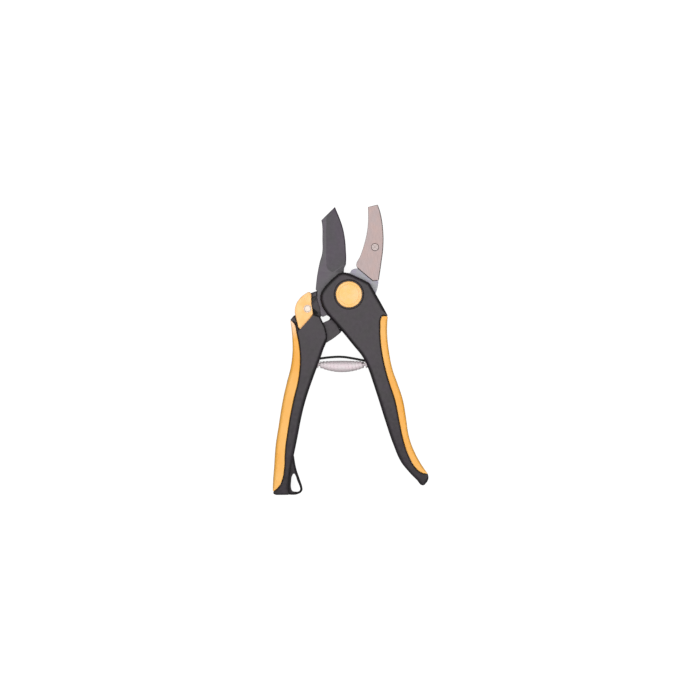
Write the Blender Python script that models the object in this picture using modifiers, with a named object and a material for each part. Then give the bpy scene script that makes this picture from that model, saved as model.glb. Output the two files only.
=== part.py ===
"""Bypass pruning shears, lying on their back with the jaws and handles fully open.

X points right, Y runs from the pivot to the blade tips and Z points up, away from the
surface that the handles rest on. The origin is on the pivot's axis, in that surface.
Lengths in this file are millimetres and angles degrees: MM turns lengths into metres.
The blade is fixed in the right handle and the hook in the left handle, which turns
anticlockwise about the pivot to close. Outlines run clockwise or anticlockwise alike.
"""

import math

import bmesh
import bpy
from mathutils import Vector

MM = 0.001

# Gaps: between pieces that touch, and of a shaft that turns in its bush.
GAP = 0.3
RUNNING_GAP = 0.1

# Heights above the resting surface, from the back of the shears to the front.
HANDLE_TOP = 17.4
CHEEK_BACK = 1.0
CHEEK_FRONT = 6.0
CARRIER_BACK = CHEEK_FRONT + GAP
CARRIER_FRONT = 9.0
HOOK_FRONT = 9.8
TONGUE_FRONT = 7.9
BLADE_BACK = HOOK_FRONT + GAP
BLADE_FRONT = 12.8
HEAD_BACK = BLADE_FRONT + GAP
FLANGE_BACK = 3.0
FLANGE_FRONT = 12.6
PLATFORM_BACK = 1.4
PLATFORM_FRONT = 9.8
PAWL_BACK = 10.4
PAWL_FRONT = 12.7
CATCH_BACK = PAWL_FRONT + GAP
CATCH_FRONT = 15.8
CATCH_SLOT_FRONT = CATCH_FRONT + GAP
CATCH_WINDOW_BACK = 14.0
BUMPER_FRONT = 13.2
WALL_BACK = 5.0
WALL_FRONT = 13.6
RETAINER_BACK = 6.0
RETAINER_FRONT = 11.4
LOOP_BACK = 4.6
LOOP_FRONT = 12.8

# Heights that lie clear of every piece, for cuts that go right through.
UNDER_ALL = -5.0
OVER_ALL = 25.0

# Pivot, from its bolt outward.
BOLT_RADIUS = 4.0
BUSH_RADIUS = 5.6
BUSH_BACK = 4.1
CHEEK_RADIUS = 15.4
NUT_CORNER_RADIUS = 7.5
NUT_SIDES = 6
NUT_BACK = 0.6
NUT_FRONT = 3.0
WASHER_INNER_RADIUS = BOLT_RADIUS + 0.4
WASHER_THICKNESS = 0.5
SPRING_WASHER_RADIUS = 7.6
SPRING_WASHER_BACK = 3.2
FRICTION_WASHER_RADIUS = 10.4
NUT_RECESS_RADIUS = 8.4
NUT_RECESS_DEPTH = 4.0
BOLT_HEAD_RADIUS = 6.9
BOLT_HEAD_FRONT = 16.4
CAP_RADIUS = 9.7
CAP_INNER_RADIUS = 8.2
CAP_TOP = 18.0
CAP_RECESS_RADIUS = 10.7
CAP_RECESS_FLOOR = 15.0
POCKET_RADIUS = 20.6

# Blade heel: its round back, and the lobe that stops the closing and that the catch holds.
HEEL_RADIUS = 23.7
LOBE_RADIUS = 26.1
RAMP_START = 205.0
RAMP_END = 217.8
CLOSING_ANGLE = 24.0

# Blade: the width of the ground face along its cutting edge and where it fades out, and
# how far its tip is ground.
GRIND_WIDTH = 3.4
GRIND_START = 22.0
GRIND_FULL = 24.0
GRIND_TIP = 64.0
GRIND_TIP_SHARE = 0.9

# Catch: its pivot, the lever under the thumb, and the steel pawl behind the lever whose
# nose reaches behind the lobe. A peg on the pawl makes the two turn together.
CATCH_CENTRE = (-30.6, -10.6)
CATCH_RIVET_RADIUS = 1.5
NOSE_LENGTH = 7.4
NOSE_TIP_RADIUS = 0.8
NOSE_REST_ANGLE = -24.0
PAWL_RADIUS = 3.3
PAWL_ARM_LENGTH = 9.6
PAWL_PEG_AT = 7.8
PAWL_PEG_RADIUS = 1.1
PAWL_PEG_FRONT = 14.4
TAIL_LENGTH = 16.1
TAIL_START = 247.0
CATCH_TURN = 38.0

# Return spring, a strip wound in two cones that meet at the middle.
SPRING_LEFT = (-22.2, -51.7)
SPRING_RIGHT = (12.0, -51.7)
SPRING_HEIGHT = 8.7
SPRING_SAG = 1.6
SPRING_END_RADIUS = 2.0
SPRING_MIDDLE_RADIUS = 4.2
SPRING_TURNS = 8
SPRING_STEPS_PER_TURN = 12
STRIP_WIDTH = 5.4
STRIP_THICKNESS = 0.45
RETAINER_THICKNESS = 0.9

# Detail of curves and rounds.
CURVE_STEPS = 2
HANDLE_EDGE_STEPS = 1
HANDLE_EDGE = 2.4
PLASTIC_EDGE = 0.8
STEEL_EDGE = 0.35
ROUND_STEPS = 32
SMALL_ROUND_STEPS = 16
SHARP_ANGLE = math.radians(32)
WELD_DISTANCE = 0.00001

# Looks: material name, colour, roughness and how metallic it is.

BLACK_PLASTIC = ("black_plastic", (0.075, 0.065, 0.078, 1), 0.5, 0.0)
YELLOW_PLASTIC = ("yellow_plastic", (0.93, 0.44, 0.08, 1), 0.42, 0.0)
CATCH_PLASTIC = ("catch_plastic", (1.0, 0.56, 0.18, 1), 0.38, 0.0)
CAP_PLASTIC = ("cap_plastic", (1.0, 0.64, 0.24, 1), 0.35, 0.0)
BLADE_COAT = ("blade_coat", (0.13, 0.11, 0.135, 1), 0.4, 0.4)
HOOK_STEEL = ("hook_steel", (0.6, 0.46, 0.44, 1), 0.36, 0.9)
BARE_STEEL = ("bare_steel", (0.45, 0.45, 0.46, 1), 0.3, 1.0)
SPRING_STEEL = ("spring_steel", (0.6, 0.52, 0.54, 1), 0.25, 1.0)
BLACK_STEEL = ("black_steel", (0.05, 0.05, 0.055, 1), 0.4, 0.8)
BRONZE = ("bronze", (0.55, 0.36, 0.16, 1), 0.35, 1.0)
RUBBER = ("black_rubber", (0.03, 0.03, 0.03, 1), 0.8, 0.0)


# --- Points -----------------------------------------------------------------------------


def polar(radius, degrees, centre=(0.0, 0.0)):
    turn = math.radians(degrees)
    return (centre[0] + radius * math.cos(turn), centre[1] + radius * math.sin(turn))


def arc(radius, start, end, steps, centre=(0.0, 0.0)):
    """Points along a circle, from one angle to another, both included."""
    return [polar(radius, start + (end - start) * i / steps, centre) for i in range(steps + 1)]


def smooth(*points):
    """Outline points that the line passes through without a corner."""
    return [(x, y, "AUTO") for x, y in points]


def sharp(*points):
    """Outline points where the line turns a corner."""
    return [(x, y, "VECTOR") for x, y in points]


def ramp_radius(degrees):
    """The blade heel's radius at an angle: round at first, then rising to the lobe."""
    share = (degrees - RAMP_START) / (RAMP_END - RAMP_START)
    return HEEL_RADIUS + (LOBE_RADIUS - HEEL_RADIUS) * min(max(share, 0.0), 1.0)


# --- Outlines that more than one piece uses -----------------------------------------------


def right_handle_outline():
    return (
        sharp((-7.8, 15.5))
        + smooth((-3.8, 16.3), (0.8, 15.3), (6.3, 12.9), (11.3, 10.6))
        + sharp((15.4, 8.4))
        + smooth((19.8, 0.5), (24.3, -7.4))
        + sharp((28.8, -15.8))
        + smooth((28.4, -20), (28.3, -30), (29.5, -41.4), (32.3, -55.6), (35.8, -65.5))
        + smooth((39.9, -78), (42.2, -91), (44.5, -105.5), (48.9, -117.3), (54.6, -127.4))
        + smooth((58.4, -132.8))
        + smooth((58.8, -136), (57, -139.6), (54.6, -141.2))
        + smooth((50, -137), (44, -130.8), (38.5, -123.8), (33, -111.4), (27.4, -95.1))
        + smooth((22.3, -78.9), (17.5, -64.1), (14.2, -54.6), (10.7, -47.1))
        + smooth((2.2, -36.3))
        + sharp((-5.7, -26.6))
        + smooth((-11, -20.5), polar(21.8, 222), polar(21.8, 205), polar(21.7, 190))
        + smooth(polar(20.8, 178), polar(19.4, 168))
        + smooth((-15, 8.8))
    )


def right_grip_band():
    """Covers the outer side of the right handle, from just below the head to the foot."""
    return (
        smooth((23.5, -19), (24.6, -16.2), (27.2, -16.4))
        + sharp((31, -20), (45, -20), (75, -120), (66, -131.5))
        + sharp((58, -132.6))
        + smooth((53.6, -131.6), (48.9, -127.6), (44.4, -119.7), (40.4, -108.1), (37.6, -95.1))
        + smooth((34.2, -78.3), (29.9, -65), (27.2, -55.6), (24.3, -41.4), (23.2, -30))
    )


def left_handle_outline():
    return (
        sharp((-43.2, -18.6), (-40.3, -15.2), (-26.6, -14.3), (-21.5, -15.9))
        + sharp((-19.1, -21), (-17.5, -24.1))
        + smooth((-16.2, -32.7), (-19, -40.8), (-20.9, -46.5), (-23.2, -52.8), (-26, -60.3))
        + smooth((-29.6, -70.6), (-32.4, -79.5), (-35.2, -90.8), (-38, -105.2), (-40.4, -117))
        + smooth((-43.4, -131))
        + sharp((-44.2, -148.2))
        + sharp((-54.2, -148.3))
        + smooth((-56.2, -146.6), (-56.2, -140), (-55.3, -127.4), (-54.2, -112), (-52.1, -98))
        + smooth((-48.8, -77.8), (-45.7, -64.3), (-43.2, -54.5), (-41.8, -44.3), (-41.7, -35.7))
        + smooth((-42.4, -26))
    )


def left_grip_band():
    """Covers the outer side of the left handle, from the horn beside the catch to the foot."""
    return (
        sharp((-43.5, -18.8))
        + smooth((-40.4, -21.8), (-38.6, -28.9), (-36.9, -38), (-36.2, -47.1), (-36.6, -56.7))
        + smooth((-38, -65.8), (-40.3, -74.9), (-43.1, -88), (-45.4, -101.8), (-47.1, -114.3))
        + smooth((-48, -130.2), (-49.5, -137.6), (-52.2, -142.6))
        + sharp((-55.9, -145.6), (-63, -148), (-75, -120), (-60, -40), (-52, -18))
    )


def blade_outline():
    """The blade from its tip round the heel and along the tang that the handle holds."""
    shoulder = [(-24.6, 3.6), polar(HEEL_RADIUS, 174)]
    ramp = [polar(ramp_radius(a), a) for a in (RAMP_START, 211.4)]
    return (
        sharp((-10.3, 64.9), (-20.4, 54.9))
        + smooth((-19.8, 51.5), (-19.6, 41), (-19.8, 30.5), (-21.6, 23.8), (-23.5, 13.9))
        + sharp(*shoulder)
        + smooth(*arc(HEEL_RADIUS, 181, 199, 2))
        + smooth(*ramp)
        + sharp(polar(LOBE_RADIUS, RAMP_END), (-16, -16.3))
        + smooth((-6, -17.5), (2, -21.5), (8.2, -29), (13, -38), (18.5, -49))
        + sharp((22, -61), (26, -60))
        + smooth((23.5, -48), (21.5, -36), (20.2, -26), (18.3, -14))
        + smooth(*arc(13.4, -8, 98, 4))
        + sharp((-3.8, 16.6), (-3.5, 19.6))
        + sharp((-2.1, 22.4))
        + smooth((-1.9, 27), (-2.1, 32.1), (-2.6, 39.4), (-4.1, 48.2), (-6.2, 55))
    )


def carrier_outline():
    """The hook's steel carrier: disc at the pivot, tongue behind the hook, tang in the handle."""
    return (
        smooth((0.7, 16.1), (2.1, 18.1), (3.8, 18.9))
        + sharp((7.6, 19.4))
        + smooth((10.8, 29), (14.2, 40))
        + sharp((15.8, 46), (21.6, 46))
        + smooth((22.6, 36), (21.6, 22))
        + sharp((19.6, 11.2), (21.9, 9.8))
        + smooth((21.1, 5), (19.9, 1.1), (17.2, -5.5))
        + smooth(*arc(16.1, -34, -70, 2))
        + smooth((-4, -21.5), (-9, -28.5), (-15, -32.5), (-22, -37.5), (-27.5, -46))
        + sharp((-31, -62), (-35.3, -61))
        + smooth((-34.4, -46), (-29.5, -35.5), (-22, -27), (-18, -23.4), (-12.5, -19.9))
        + smooth(*arc(16.1, 224, 94, 7))
    )


def hook_outline():
    """The hook that the blade closes against, as far down as its step to the carrier."""
    return (
        sharp((14.1, 64.8), (21.4, 66.6))
        + smooth((23.5, 60), (25.3, 48), (25.5, 36), (24, 23))
        + sharp((22.1, 10.4), (17.5, 10.1), (6.2, 19.7))
        + smooth((5.5, 22), (8.4, 28.4), (11.5, 37.8), (13.7, 48.2), (14.3, 57))
    )


def catch_outline():
    """The thumb catch's lever, with its tail in the handle."""
    tail = [
        polar(TAIL_LENGTH, TAIL_START + 7.5, CATCH_CENTRE),
        polar(TAIL_LENGTH, TAIL_START + 1.5, CATCH_CENTRE),
    ]
    return (
        smooth((-29.2, 1.7), (-28, 0.2), (-27.8, -3), (-27.6, -8))
        + sharp((-27, -10.6), (-26.5, -14.9))
        + smooth(*tail)
        + smooth((-38.4, -20.5), (-39.6, -15.6), (-40, -12), (-38.9, -7), (-35.6, -2.2))
        + smooth((-32, 0.6))
    )


def pawl_outline():
    """The catch's pawl: a nose towards the pivot, an eye for the rivet and an arm."""
    nose_tip = polar(NOSE_LENGTH, NOSE_REST_ANGLE, CATCH_CENTRE)
    arm = TAIL_START + 5
    return (
        smooth(*arc(NOSE_TIP_RADIUS, NOSE_REST_ANGLE + 80, NOSE_REST_ANGLE - 80, 3, nose_tip))
        + smooth(polar(PAWL_RADIUS, NOSE_REST_ANGLE - 45, CATCH_CENTRE))
        + smooth(polar(PAWL_ARM_LENGTH, arm + 9, CATCH_CENTRE))
        + smooth(polar(PAWL_ARM_LENGTH, arm - 9, CATCH_CENTRE))
        + smooth(*arc(PAWL_RADIUS, arm - 45, NOSE_REST_ANGLE + 45, 5, CATCH_CENTRE))
    )


def retainer_outline():
    """A thin strip above the spring, seen on edge, with its ends in the two handles."""
    middle = [(-23.4, -47.3), (-14, -46.3), (-4, -46.1), (5, -46.7), (13.4, -47.7)]
    half = RETAINER_THICKNESS / 2
    above = [(x, y + half) for x, y in middle]
    below = [(x, y - half) for x, y in reversed(middle)]
    return sharp(above[0]) + smooth(*above[1:-1]) + sharp(above[-1], below[0]) + smooth(
        *below[1:-1]
    ) + sharp(below[-1])


# --- Scene, materials and shapes ----------------------------------------------------------


def clear_scene():
    for item in list(bpy.data.objects):
        bpy.data.objects.remove(item, do_unlink=True)
    for name in ("pruning_shears", "pruning_shears_cutters"):
        bpy.context.scene.collection.children.link(bpy.data.collections.new(name))


def material_of(name, color, roughness, metallic):
    material = bpy.data.materials.get(name)
    if material is None:
        material = bpy.data.materials.new(name)
        material.use_nodes = True
        shader = material.node_tree.nodes["Principled BSDF"]
        shader.inputs["Base Color"].default_value = color
        shader.inputs["Roughness"].default_value = roughness
        shader.inputs["Metallic"].default_value = metallic
    return material


def placed(name, data):
    """A new object in the shears' collection."""
    item = bpy.data.objects.new(name, data)
    bpy.data.collections["pruning_shears"].objects.link(item)
    return item


def finished(item, look):
    """Gives a piece its material and its shading."""
    item.data.materials.append(material_of(*look))
    item.data.shade_smooth()
    item.data.set_sharp_from_angle(angle=SHARP_ANGLE)
    return item


def as_mesh(source):
    """Replaces an object by the mesh it evaluates to, with its loose caps welded."""
    name = source.name
    bpy.context.view_layer.update()
    evaluated = source.evaluated_get(bpy.context.evaluated_depsgraph_get())
    mesh = bpy.data.meshes.new_from_object(evaluated)
    cage = bmesh.new()
    cage.from_mesh(mesh)
    bmesh.ops.remove_doubles(cage, verts=cage.verts, dist=WELD_DISTANCE)
    bmesh.ops.recalc_face_normals(cage, faces=cage.faces)
    cage.to_mesh(mesh)
    cage.free()
    item = placed(name + "_mesh", mesh)
    item.matrix_world = source.matrix_world
    bpy.data.objects.remove(source, do_unlink=True)
    item.name = name
    return item


def plate(name, outline, back, front, edge=0.0, grow=0.0, edge_steps=0):
    """A flat piece between two heights; edge rounds its rims and grow moves its wall out."""
    curve = bpy.data.curves.new(name, "CURVE")
    curve.dimensions = "2D"
    curve.fill_mode = "BOTH"
    curve.resolution_u = CURVE_STEPS
    curve.extrude = ((front - back) / 2 - edge) * MM
    curve.bevel_depth = edge * MM
    curve.bevel_resolution = edge_steps
    curve.offset = (grow - edge) * MM
    spline = curve.splines.new("BEZIER")
    spline.bezier_points.add(len(outline) - 1)
    spline.use_cyclic_u = True
    for point, (x, y, kind) in zip(spline.bezier_points, outline):
        point.co = (x * MM, y * MM, 0)
        point.handle_left_type = kind
        point.handle_right_type = kind
    source = placed(name, curve)
    source.location.z = (front + back) / 2 * MM
    return as_mesh(source)


def handle_block(name, outline):
    """A handle's outline at its full height, with well rounded rims."""
    return plate(name, outline, 0, HANDLE_TOP, HANDLE_EDGE, edge_steps=HANDLE_EDGE_STEPS)


def turned(name, profile, centre=(0.0, 0.0), steps=ROUND_STEPS):
    """A round piece about a line along Z; the profile runs down its outer side."""
    mesh = bpy.data.meshes.new(name)
    points = [(radius * MM, 0, height * MM) for radius, height in profile]
    ends_on_axis = profile[0][0] == 0 and profile[-1][0] == 0
    edges = [(i, i + 1) for i in range(len(points) - 1)]
    if not ends_on_axis:
        edges.append((len(points) - 1, 0))
    mesh.from_pydata(points, edges, [])
    source = placed(name, mesh)
    source.location = (centre[0] * MM, centre[1] * MM, 0)
    screw = source.modifiers.new("Screw", "SCREW")
    screw.steps = steps
    screw.render_steps = steps
    screw.use_merge_vertices = True
    screw.merge_threshold = WELD_DISTANCE
    return as_mesh(source)


def rod(name, radius, back, front, centre=(0.0, 0.0), steps=SMALL_ROUND_STEPS):
    return turned(name, [(0, front), (radius, front), (radius, back), (0, back)], centre, steps)


def ring(name, inner, outer, back, front, centre=(0.0, 0.0), steps=ROUND_STEPS):
    profile = [(inner, front), (outer, front), (outer, back), (inner, back)]
    return turned(name, profile, centre, steps)


def as_cutter(item):
    item.display_type = "WIRE"
    item.hide_render = True
    bpy.data.collections["pruning_shears"].objects.unlink(item)
    bpy.data.collections["pruning_shears_cutters"].objects.link(item)
    return item


def combined(piece, operation, *others):
    """Cuts the other shapes from a piece, joins them to it or keeps what they share."""
    for other in others:
        as_cutter(other)
        modifier = piece.modifiers.new(other.name, "BOOLEAN")
        modifier.operation = operation
        modifier.solver = "EXACT"
        modifier.object = other
    return piece


def cut(piece, *cutters):
    return combined(piece, "DIFFERENCE", *cutters)


def joined(piece, *others):
    return combined(piece, "UNION", *others)


# --- Spring and its seats -----------------------------------------------------------------


def spring_point(share):
    """A point on the spring's middle line, and its direction there, both in the XY plane."""
    left, right = Vector(SPRING_LEFT), Vector(SPRING_RIGHT)
    point = left.lerp(right, share)
    point.y -= 4 * SPRING_SAG * share * (1 - share)
    along = right - left
    along.y -= 4 * SPRING_SAG * (1 - 2 * share)
    return point, along.normalized()


def make_spring():
    """A flat strip wound round the spring's middle line, widest halfway along."""
    cage = bmesh.new()
    steps = SPRING_TURNS * SPRING_STEPS_PER_TURN
    margin = (STRIP_WIDTH / 2 + GAP) / (SPRING_RIGHT[0] - SPRING_LEFT[0])
    rows = []
    for i in range(steps + 1):
        share = margin + (1 - 2 * margin) * i / steps
        centre, along = spring_point(share)
        across = Vector((-along.y, along.x))
        turn = 2 * math.pi * i / SPRING_STEPS_PER_TURN
        widening = 1 - abs(2 * i / steps - 1)
        radius = SPRING_END_RADIUS + (SPRING_MIDDLE_RADIUS - SPRING_END_RADIUS) * widening
        row = []
        corners = [(-1, 0), (1, 0), (1, -1), (-1, -1)]
        for side, inward in corners:
            reach = radius + inward * STRIP_THICKNESS
            flat = centre + along * (side * STRIP_WIDTH / 2) + across * (reach * math.cos(turn))
            height = SPRING_HEIGHT + reach * math.sin(turn)
            row.append(cage.verts.new((flat.x * MM, flat.y * MM, height * MM)))
        rows.append(row)
    for before, after in zip(rows, rows[1:]):
        for k in range(4):
            cage.faces.new((before[k], before[k - 1], after[k - 1], after[k]))
    cage.faces.new(rows[0])
    cage.faces.new(reversed(rows[-1]))
    bmesh.ops.recalc_face_normals(cage, faces=cage.faces)
    mesh = bpy.data.meshes.new("return_spring")
    cage.to_mesh(mesh)
    cage.free()
    return finished(placed("return_spring", mesh), SPRING_STEEL)


def aimed(item, share):
    """Stands a turned piece on the spring's line, its top towards the spring's middle."""
    point, along = spring_point(share)
    facing = along if share < 0.5 else -along
    item.rotation_euler = Vector((facing.x, facing.y, 0)).to_track_quat("Z", "Y").to_euler()
    item.location = (point.x * MM, point.y * MM, SPRING_HEIGHT * MM)
    return item


def spring_seat(name, share):
    """A round seat with a peg inside the spring's end and a stem in the handle."""
    profile = [(0, 3.4), (0.9, 3.4), (1.2, 3.0), (1.2, 0), (2.4, 0), (2.7, -0.3), (2.7, -1.4)]
    profile += [(1.6, -1.4), (1.6, -4.2), (0, -4.2)]
    return finished(aimed(turned(name, profile, steps=SMALL_ROUND_STEPS), share), BLACK_STEEL)


def retainer_room(name):
    back, front = RETAINER_BACK - GAP, RETAINER_FRONT + GAP
    return plate(name, retainer_outline(), back, front, grow=GAP)


def seat_pocket(name, share):
    profile = [(0, 6), (3.0, 6), (3.0, -1.7), (1.9, -1.7), (1.9, -4.5), (0, -4.5)]
    return aimed(turned(name, profile, steps=SMALL_ROUND_STEPS), share)


# --- Screws and rivets --------------------------------------------------------------------

SCREW_PROFILE = [(0, 14.2), (0.5, 14.2), (1.4, 12.8), (1.4, 2.4), (2.9, 2.2), (2.9, 1.0)]
SCREW_PROFILE += [(2.2, 0.5), (0, 0.5)]
SCREW_BORE = [(0, 14.6), (1.7, 14.6), (1.7, 2.7), (3.4, 2.7), (3.4, -1), (0, -1)]
TANG_HOLE_RADIUS = 1.8
RIGHT_SCREWS = {"right_screw_upper": (15.5, -33), "right_screw_lower": (20.3, -46)}
LEFT_SCREWS = {"left_screw_upper": (-24.8, -33.6), "left_screw_lower": (-31.6, -50)}
UPPER_RIVET = (19.3, 35.1)
LOWER_RIVET = (15.4, 18.6)
LOWER_RIVET_FRONT = 8.8
HOOK_RIVET_RADIUS = 1.4


def make_screws(places):
    for name, centre in places.items():
        finished(turned(name, SCREW_PROFILE, centre, SMALL_ROUND_STEPS), BARE_STEEL)


def screw_bores(places):
    return [
        turned(name + "_bore", SCREW_BORE, at, SMALL_ROUND_STEPS) for name, at in places.items()
    ]


def tang_holes(places):
    return [
        rod(name + "_tang_hole", TANG_HOLE_RADIUS, UNDER_ALL, OVER_ALL, at)
        for name, at in places.items()
    ]


def pivot_hole(name, radius=BOLT_RADIUS + GAP):
    """Cuts a round hole on the pivot's axis through a piece."""
    return rod(name, radius, UNDER_ALL, OVER_ALL, steps=ROUND_STEPS)


def make_hook_rivets():
    """The upper rivet is flush with the hook's front; the lower one stops behind it."""
    shank = HOOK_RIVET_RADIUS
    back = [(shank, 6), (2.3, 6), (2.1, 5.2), (0, 5.2)]
    flush = [(0, 9.7), (2.4, 9.7), (2.4, 8.9), (shank, 8.5)] + back
    blind = [(0, LOWER_RIVET_FRONT), (shank, LOWER_RIVET_FRONT)] + back
    finished(turned("hook_rivet_upper", flush, UPPER_RIVET, SMALL_ROUND_STEPS), HOOK_STEEL)
    finished(turned("hook_rivet_lower", blind, LOWER_RIVET, SMALL_ROUND_STEPS), BARE_STEEL)


# --- Right handle, with the blade ---------------------------------------------------------


def make_blade():
    """The blade, ground on its front along the cutting edge, with its tang and holes."""
    blade = plate("cutting_blade", blade_outline(), BLADE_BACK, BLADE_FRONT)
    cutting_edge = blade_outline()[0][0] * MM
    for vertex in blade.data.vertices:
        x, y, on_front = vertex.co.x, vertex.co.y, vertex.co.z > 0
        if on_front and x > cutting_edge - MM * GAP and y > GRIND_START * MM:
            share = min((y / MM - GRIND_START) / (GRIND_FULL - GRIND_START), 1.0)
            vertex.co.x = x - GRIND_WIDTH * MM * share
            if y > GRIND_TIP * MM:
                vertex.co.y = y - GRIND_WIDTH * GRIND_TIP_SHARE * MM
    cut(blade, pivot_hole("blade_pivot_hole"))
    cut(blade, *tang_holes(RIGHT_SCREWS))
    finished(blade, BLADE_COAT)


def make_right_handle():
    outline = right_handle_outline()
    body = handle_block("right_handle_body", outline)
    pocket = plate(
        "right_head_pocket",
        smooth(*arc(POCKET_RADIUS, 15, -58, 5))
        + sharp((8.6, -28.6), (2.8, -38.2), (-12, -38.2), (-45, -20), (-45, 40), (21, 40)),
        UNDER_ALL,
        HEAD_BACK,
    )
    slot = plate("blade_slot", blade_outline(), BLADE_BACK - GAP, BLADE_FRONT + 0.2, grow=GAP)
    band = plate("right_grip_room", right_grip_band(), UNDER_ALL, OVER_ALL, grow=GAP)
    recess = rod("cap_recess", CAP_RECESS_RADIUS, CAP_RECESS_FLOOR, OVER_ALL, steps=ROUND_STEPS)
    bolt_hole = pivot_hole("head_pivot_hole")
    cut(body, pocket, slot, band, recess, bolt_hole, *screw_bores(RIGHT_SCREWS))
    cut(body, seat_pocket("right_seat_pocket", 1), retainer_room("right_retainer_room"))
    finished(body, BLACK_PLASTIC)
    grip = handle_block("right_grip", outline)
    shape = plate("right_grip_shape", right_grip_band(), UNDER_ALL, OVER_ALL)
    combined(grip, "INTERSECT", shape)
    finished(grip, YELLOW_PLASTIC)
    spring_seat("right_spring_seat", 1)
    make_screws(RIGHT_SCREWS)


def make_pivot():
    head_back = CAP_RECESS_FLOOR + GAP
    bolt = [(0, BOLT_HEAD_FRONT), (BOLT_HEAD_RADIUS - 0.6, BOLT_HEAD_FRONT)]
    bolt += [(BOLT_HEAD_RADIUS, BOLT_HEAD_FRONT - 0.5)]
    bolt += [(BOLT_HEAD_RADIUS, head_back), (BOLT_RADIUS, head_back), (BOLT_RADIUS, 0), (0, 0)]
    finished(turned("pivot_bolt", bolt), BARE_STEEL)
    cap = [(0, CAP_TOP), (4.5, 17.95), (7.3, 17.7), (7.7, 17.4), (8.2, 17.55), (9.1, 17.5)]
    cap += [(CAP_RADIUS, 17.0), (CAP_RADIUS, head_back), (CAP_INNER_RADIUS, head_back)]
    cap += [(CAP_INNER_RADIUS, BOLT_HEAD_FRONT + GAP), (0, BOLT_HEAD_FRONT + GAP)]
    finished(turned("pivot_cap", cap), CAP_PLASTIC)
    nut = rod("pivot_nut", NUT_CORNER_RADIUS, NUT_BACK, NUT_FRONT, steps=NUT_SIDES)
    cut(nut, pivot_hole("nut_bore", BOLT_RADIUS + RUNNING_GAP))
    finished(nut, BARE_STEEL)
    washers = (
        ("spring_washer", SPRING_WASHER_RADIUS, SPRING_WASHER_BACK, SPRING_STEEL),
        ("friction_washer", FRICTION_WASHER_RADIUS, HOOK_FRONT - WASHER_THICKNESS, BRONZE),
    )
    for name, outer, back, look in washers:
        front = back + WASHER_THICKNESS
        finished(ring(name, WASHER_INNER_RADIUS, outer, back, front), look)
    bush = ring("pivot_bush", BOLT_RADIUS + RUNNING_GAP, BUSH_RADIUS, BUSH_BACK, CARRIER_FRONT)
    finished(bush, BRONZE)


# --- Left handle, with the hook -----------------------------------------------------------


def make_carrier():
    carrier = plate("hook_carrier", carrier_outline(), CARRIER_BACK, CARRIER_FRONT)
    step = plate(
        "carrier_step",
        sharp((-3, 27), (6.1, 19.3), (17.4, 9.8), (26, 10.1), (30, 60), (5, 60)),
        TONGUE_FRONT,
        OVER_ALL,
    )
    bush_hole = pivot_hole("carrier_pivot_hole", BUSH_RADIUS + GAP)
    cut(carrier, step, bush_hole, *tang_holes(LEFT_SCREWS))
    for name, centre in (("upper", UPPER_RIVET), ("lower", LOWER_RIVET)):
        hole = f"carrier_{name}_rivet_hole"
        cut(carrier, rod(hole, HOOK_RIVET_RADIUS + GAP, UNDER_ALL, OVER_ALL, centre))
    finished(carrier, BARE_STEEL)


def make_hook():
    hook = plate("hook_blade", hook_outline(), CARRIER_BACK, HOOK_FRONT, STEEL_EDGE)
    tongue = plate("tongue_room", carrier_outline(), UNDER_ALL, TONGUE_FRONT + GAP, grow=GAP)
    hole = HOOK_RIVET_RADIUS + GAP
    countersink = [(0, OVER_ALL), (2.6, OVER_ALL), (2.6, 8.7), (hole, 8.2), (hole, 3), (0, 3)]
    cut(hook, tongue)
    cut(hook, turned("upper_rivet_room", countersink, UPPER_RIVET, SMALL_ROUND_STEPS))
    cut(hook, rod("lower_rivet_room", hole, UNDER_ALL, LOWER_RIVET_FRONT + GAP, LOWER_RIVET))
    finished(hook, HOOK_STEEL)


def pivot_arm_outline():
    """The back cheek round the pivot and the neck that joins it to the left handle."""
    return (
        smooth(*arc(CHEEK_RADIUS, -74, 222, 14))
        + sharp((-14.7, -18.9), (-20, -21.5), (-30, -32), (-20, -38))
        + smooth((-15.9, -35.2), (-11.3, -32.3))
        + sharp((-6.4, -28.4))
    )


def flange_outline():
    return (
        sharp((-24, -21), (-19, -20.8), (-14.7, -18.9), (-10.6, -18), (-6.4, -27.4))
        + sharp((-6.6, -28.5))
        + smooth((-11.3, -32.3), (-15.9, -35.2))
        + sharp((-22, -38.5))
    )


def platform_outline():
    """Carries the catch behind it, and reaches under the heel of the blade."""
    return (
        sharp((-24.1, 2.5))
        + smooth(*arc(22.4, 174, 214, 3))
        + sharp((-20.9, -16.6), (-23, -22), (-34, -22), (-38.9, -15.5))
        + smooth((-38.9, -12), (-37.9, -7), (-34.6, -2.6), (-31.5, -0.4))
        + sharp((-28.6, 0.9))
    )


def wall_back(degrees):
    """The wall's face towards the pivot, a gap away from the heel at every pose."""
    return polar(ramp_radius(degrees + CLOSING_ANGLE) + GAP, degrees)


def wall_outline():
    inner = [wall_back(a) for a in (174, 178, 181)]
    return sharp(inner[0]) + smooth(inner[1]) + sharp(
        inner[2], wall_back(183), (-27.3, -1.9), (-27.3, -0.4)
    )


def bumper_outline():
    return sharp(wall_back(183.8), wall_back(187.5), wall_back(191), (-27.2, -5.2), (-27.2, -2.3))


def make_bumper():
    bumper = plate("closing_bumper", bumper_outline(), PLATFORM_FRONT + GAP, BUMPER_FRONT)
    finished(bumper, RUBBER)


def catch_slot_outline():
    """The room that the catch's tail and nose sweep inside the handle."""
    reach = TAIL_LENGTH + 0.9
    return (
        sharp((-40.4, -9), (-40.4, -15.4))
        + sharp(polar(reach + 0.2, TAIL_START + 0.3, CATCH_CENTRE))
        + smooth(*arc(reach, TAIL_START + 10, TAIL_START + CATCH_TURN + 4, 3, CATCH_CENTRE))
        + sharp((-23.4, -25.6), (-23.4, -9))
    )


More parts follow.
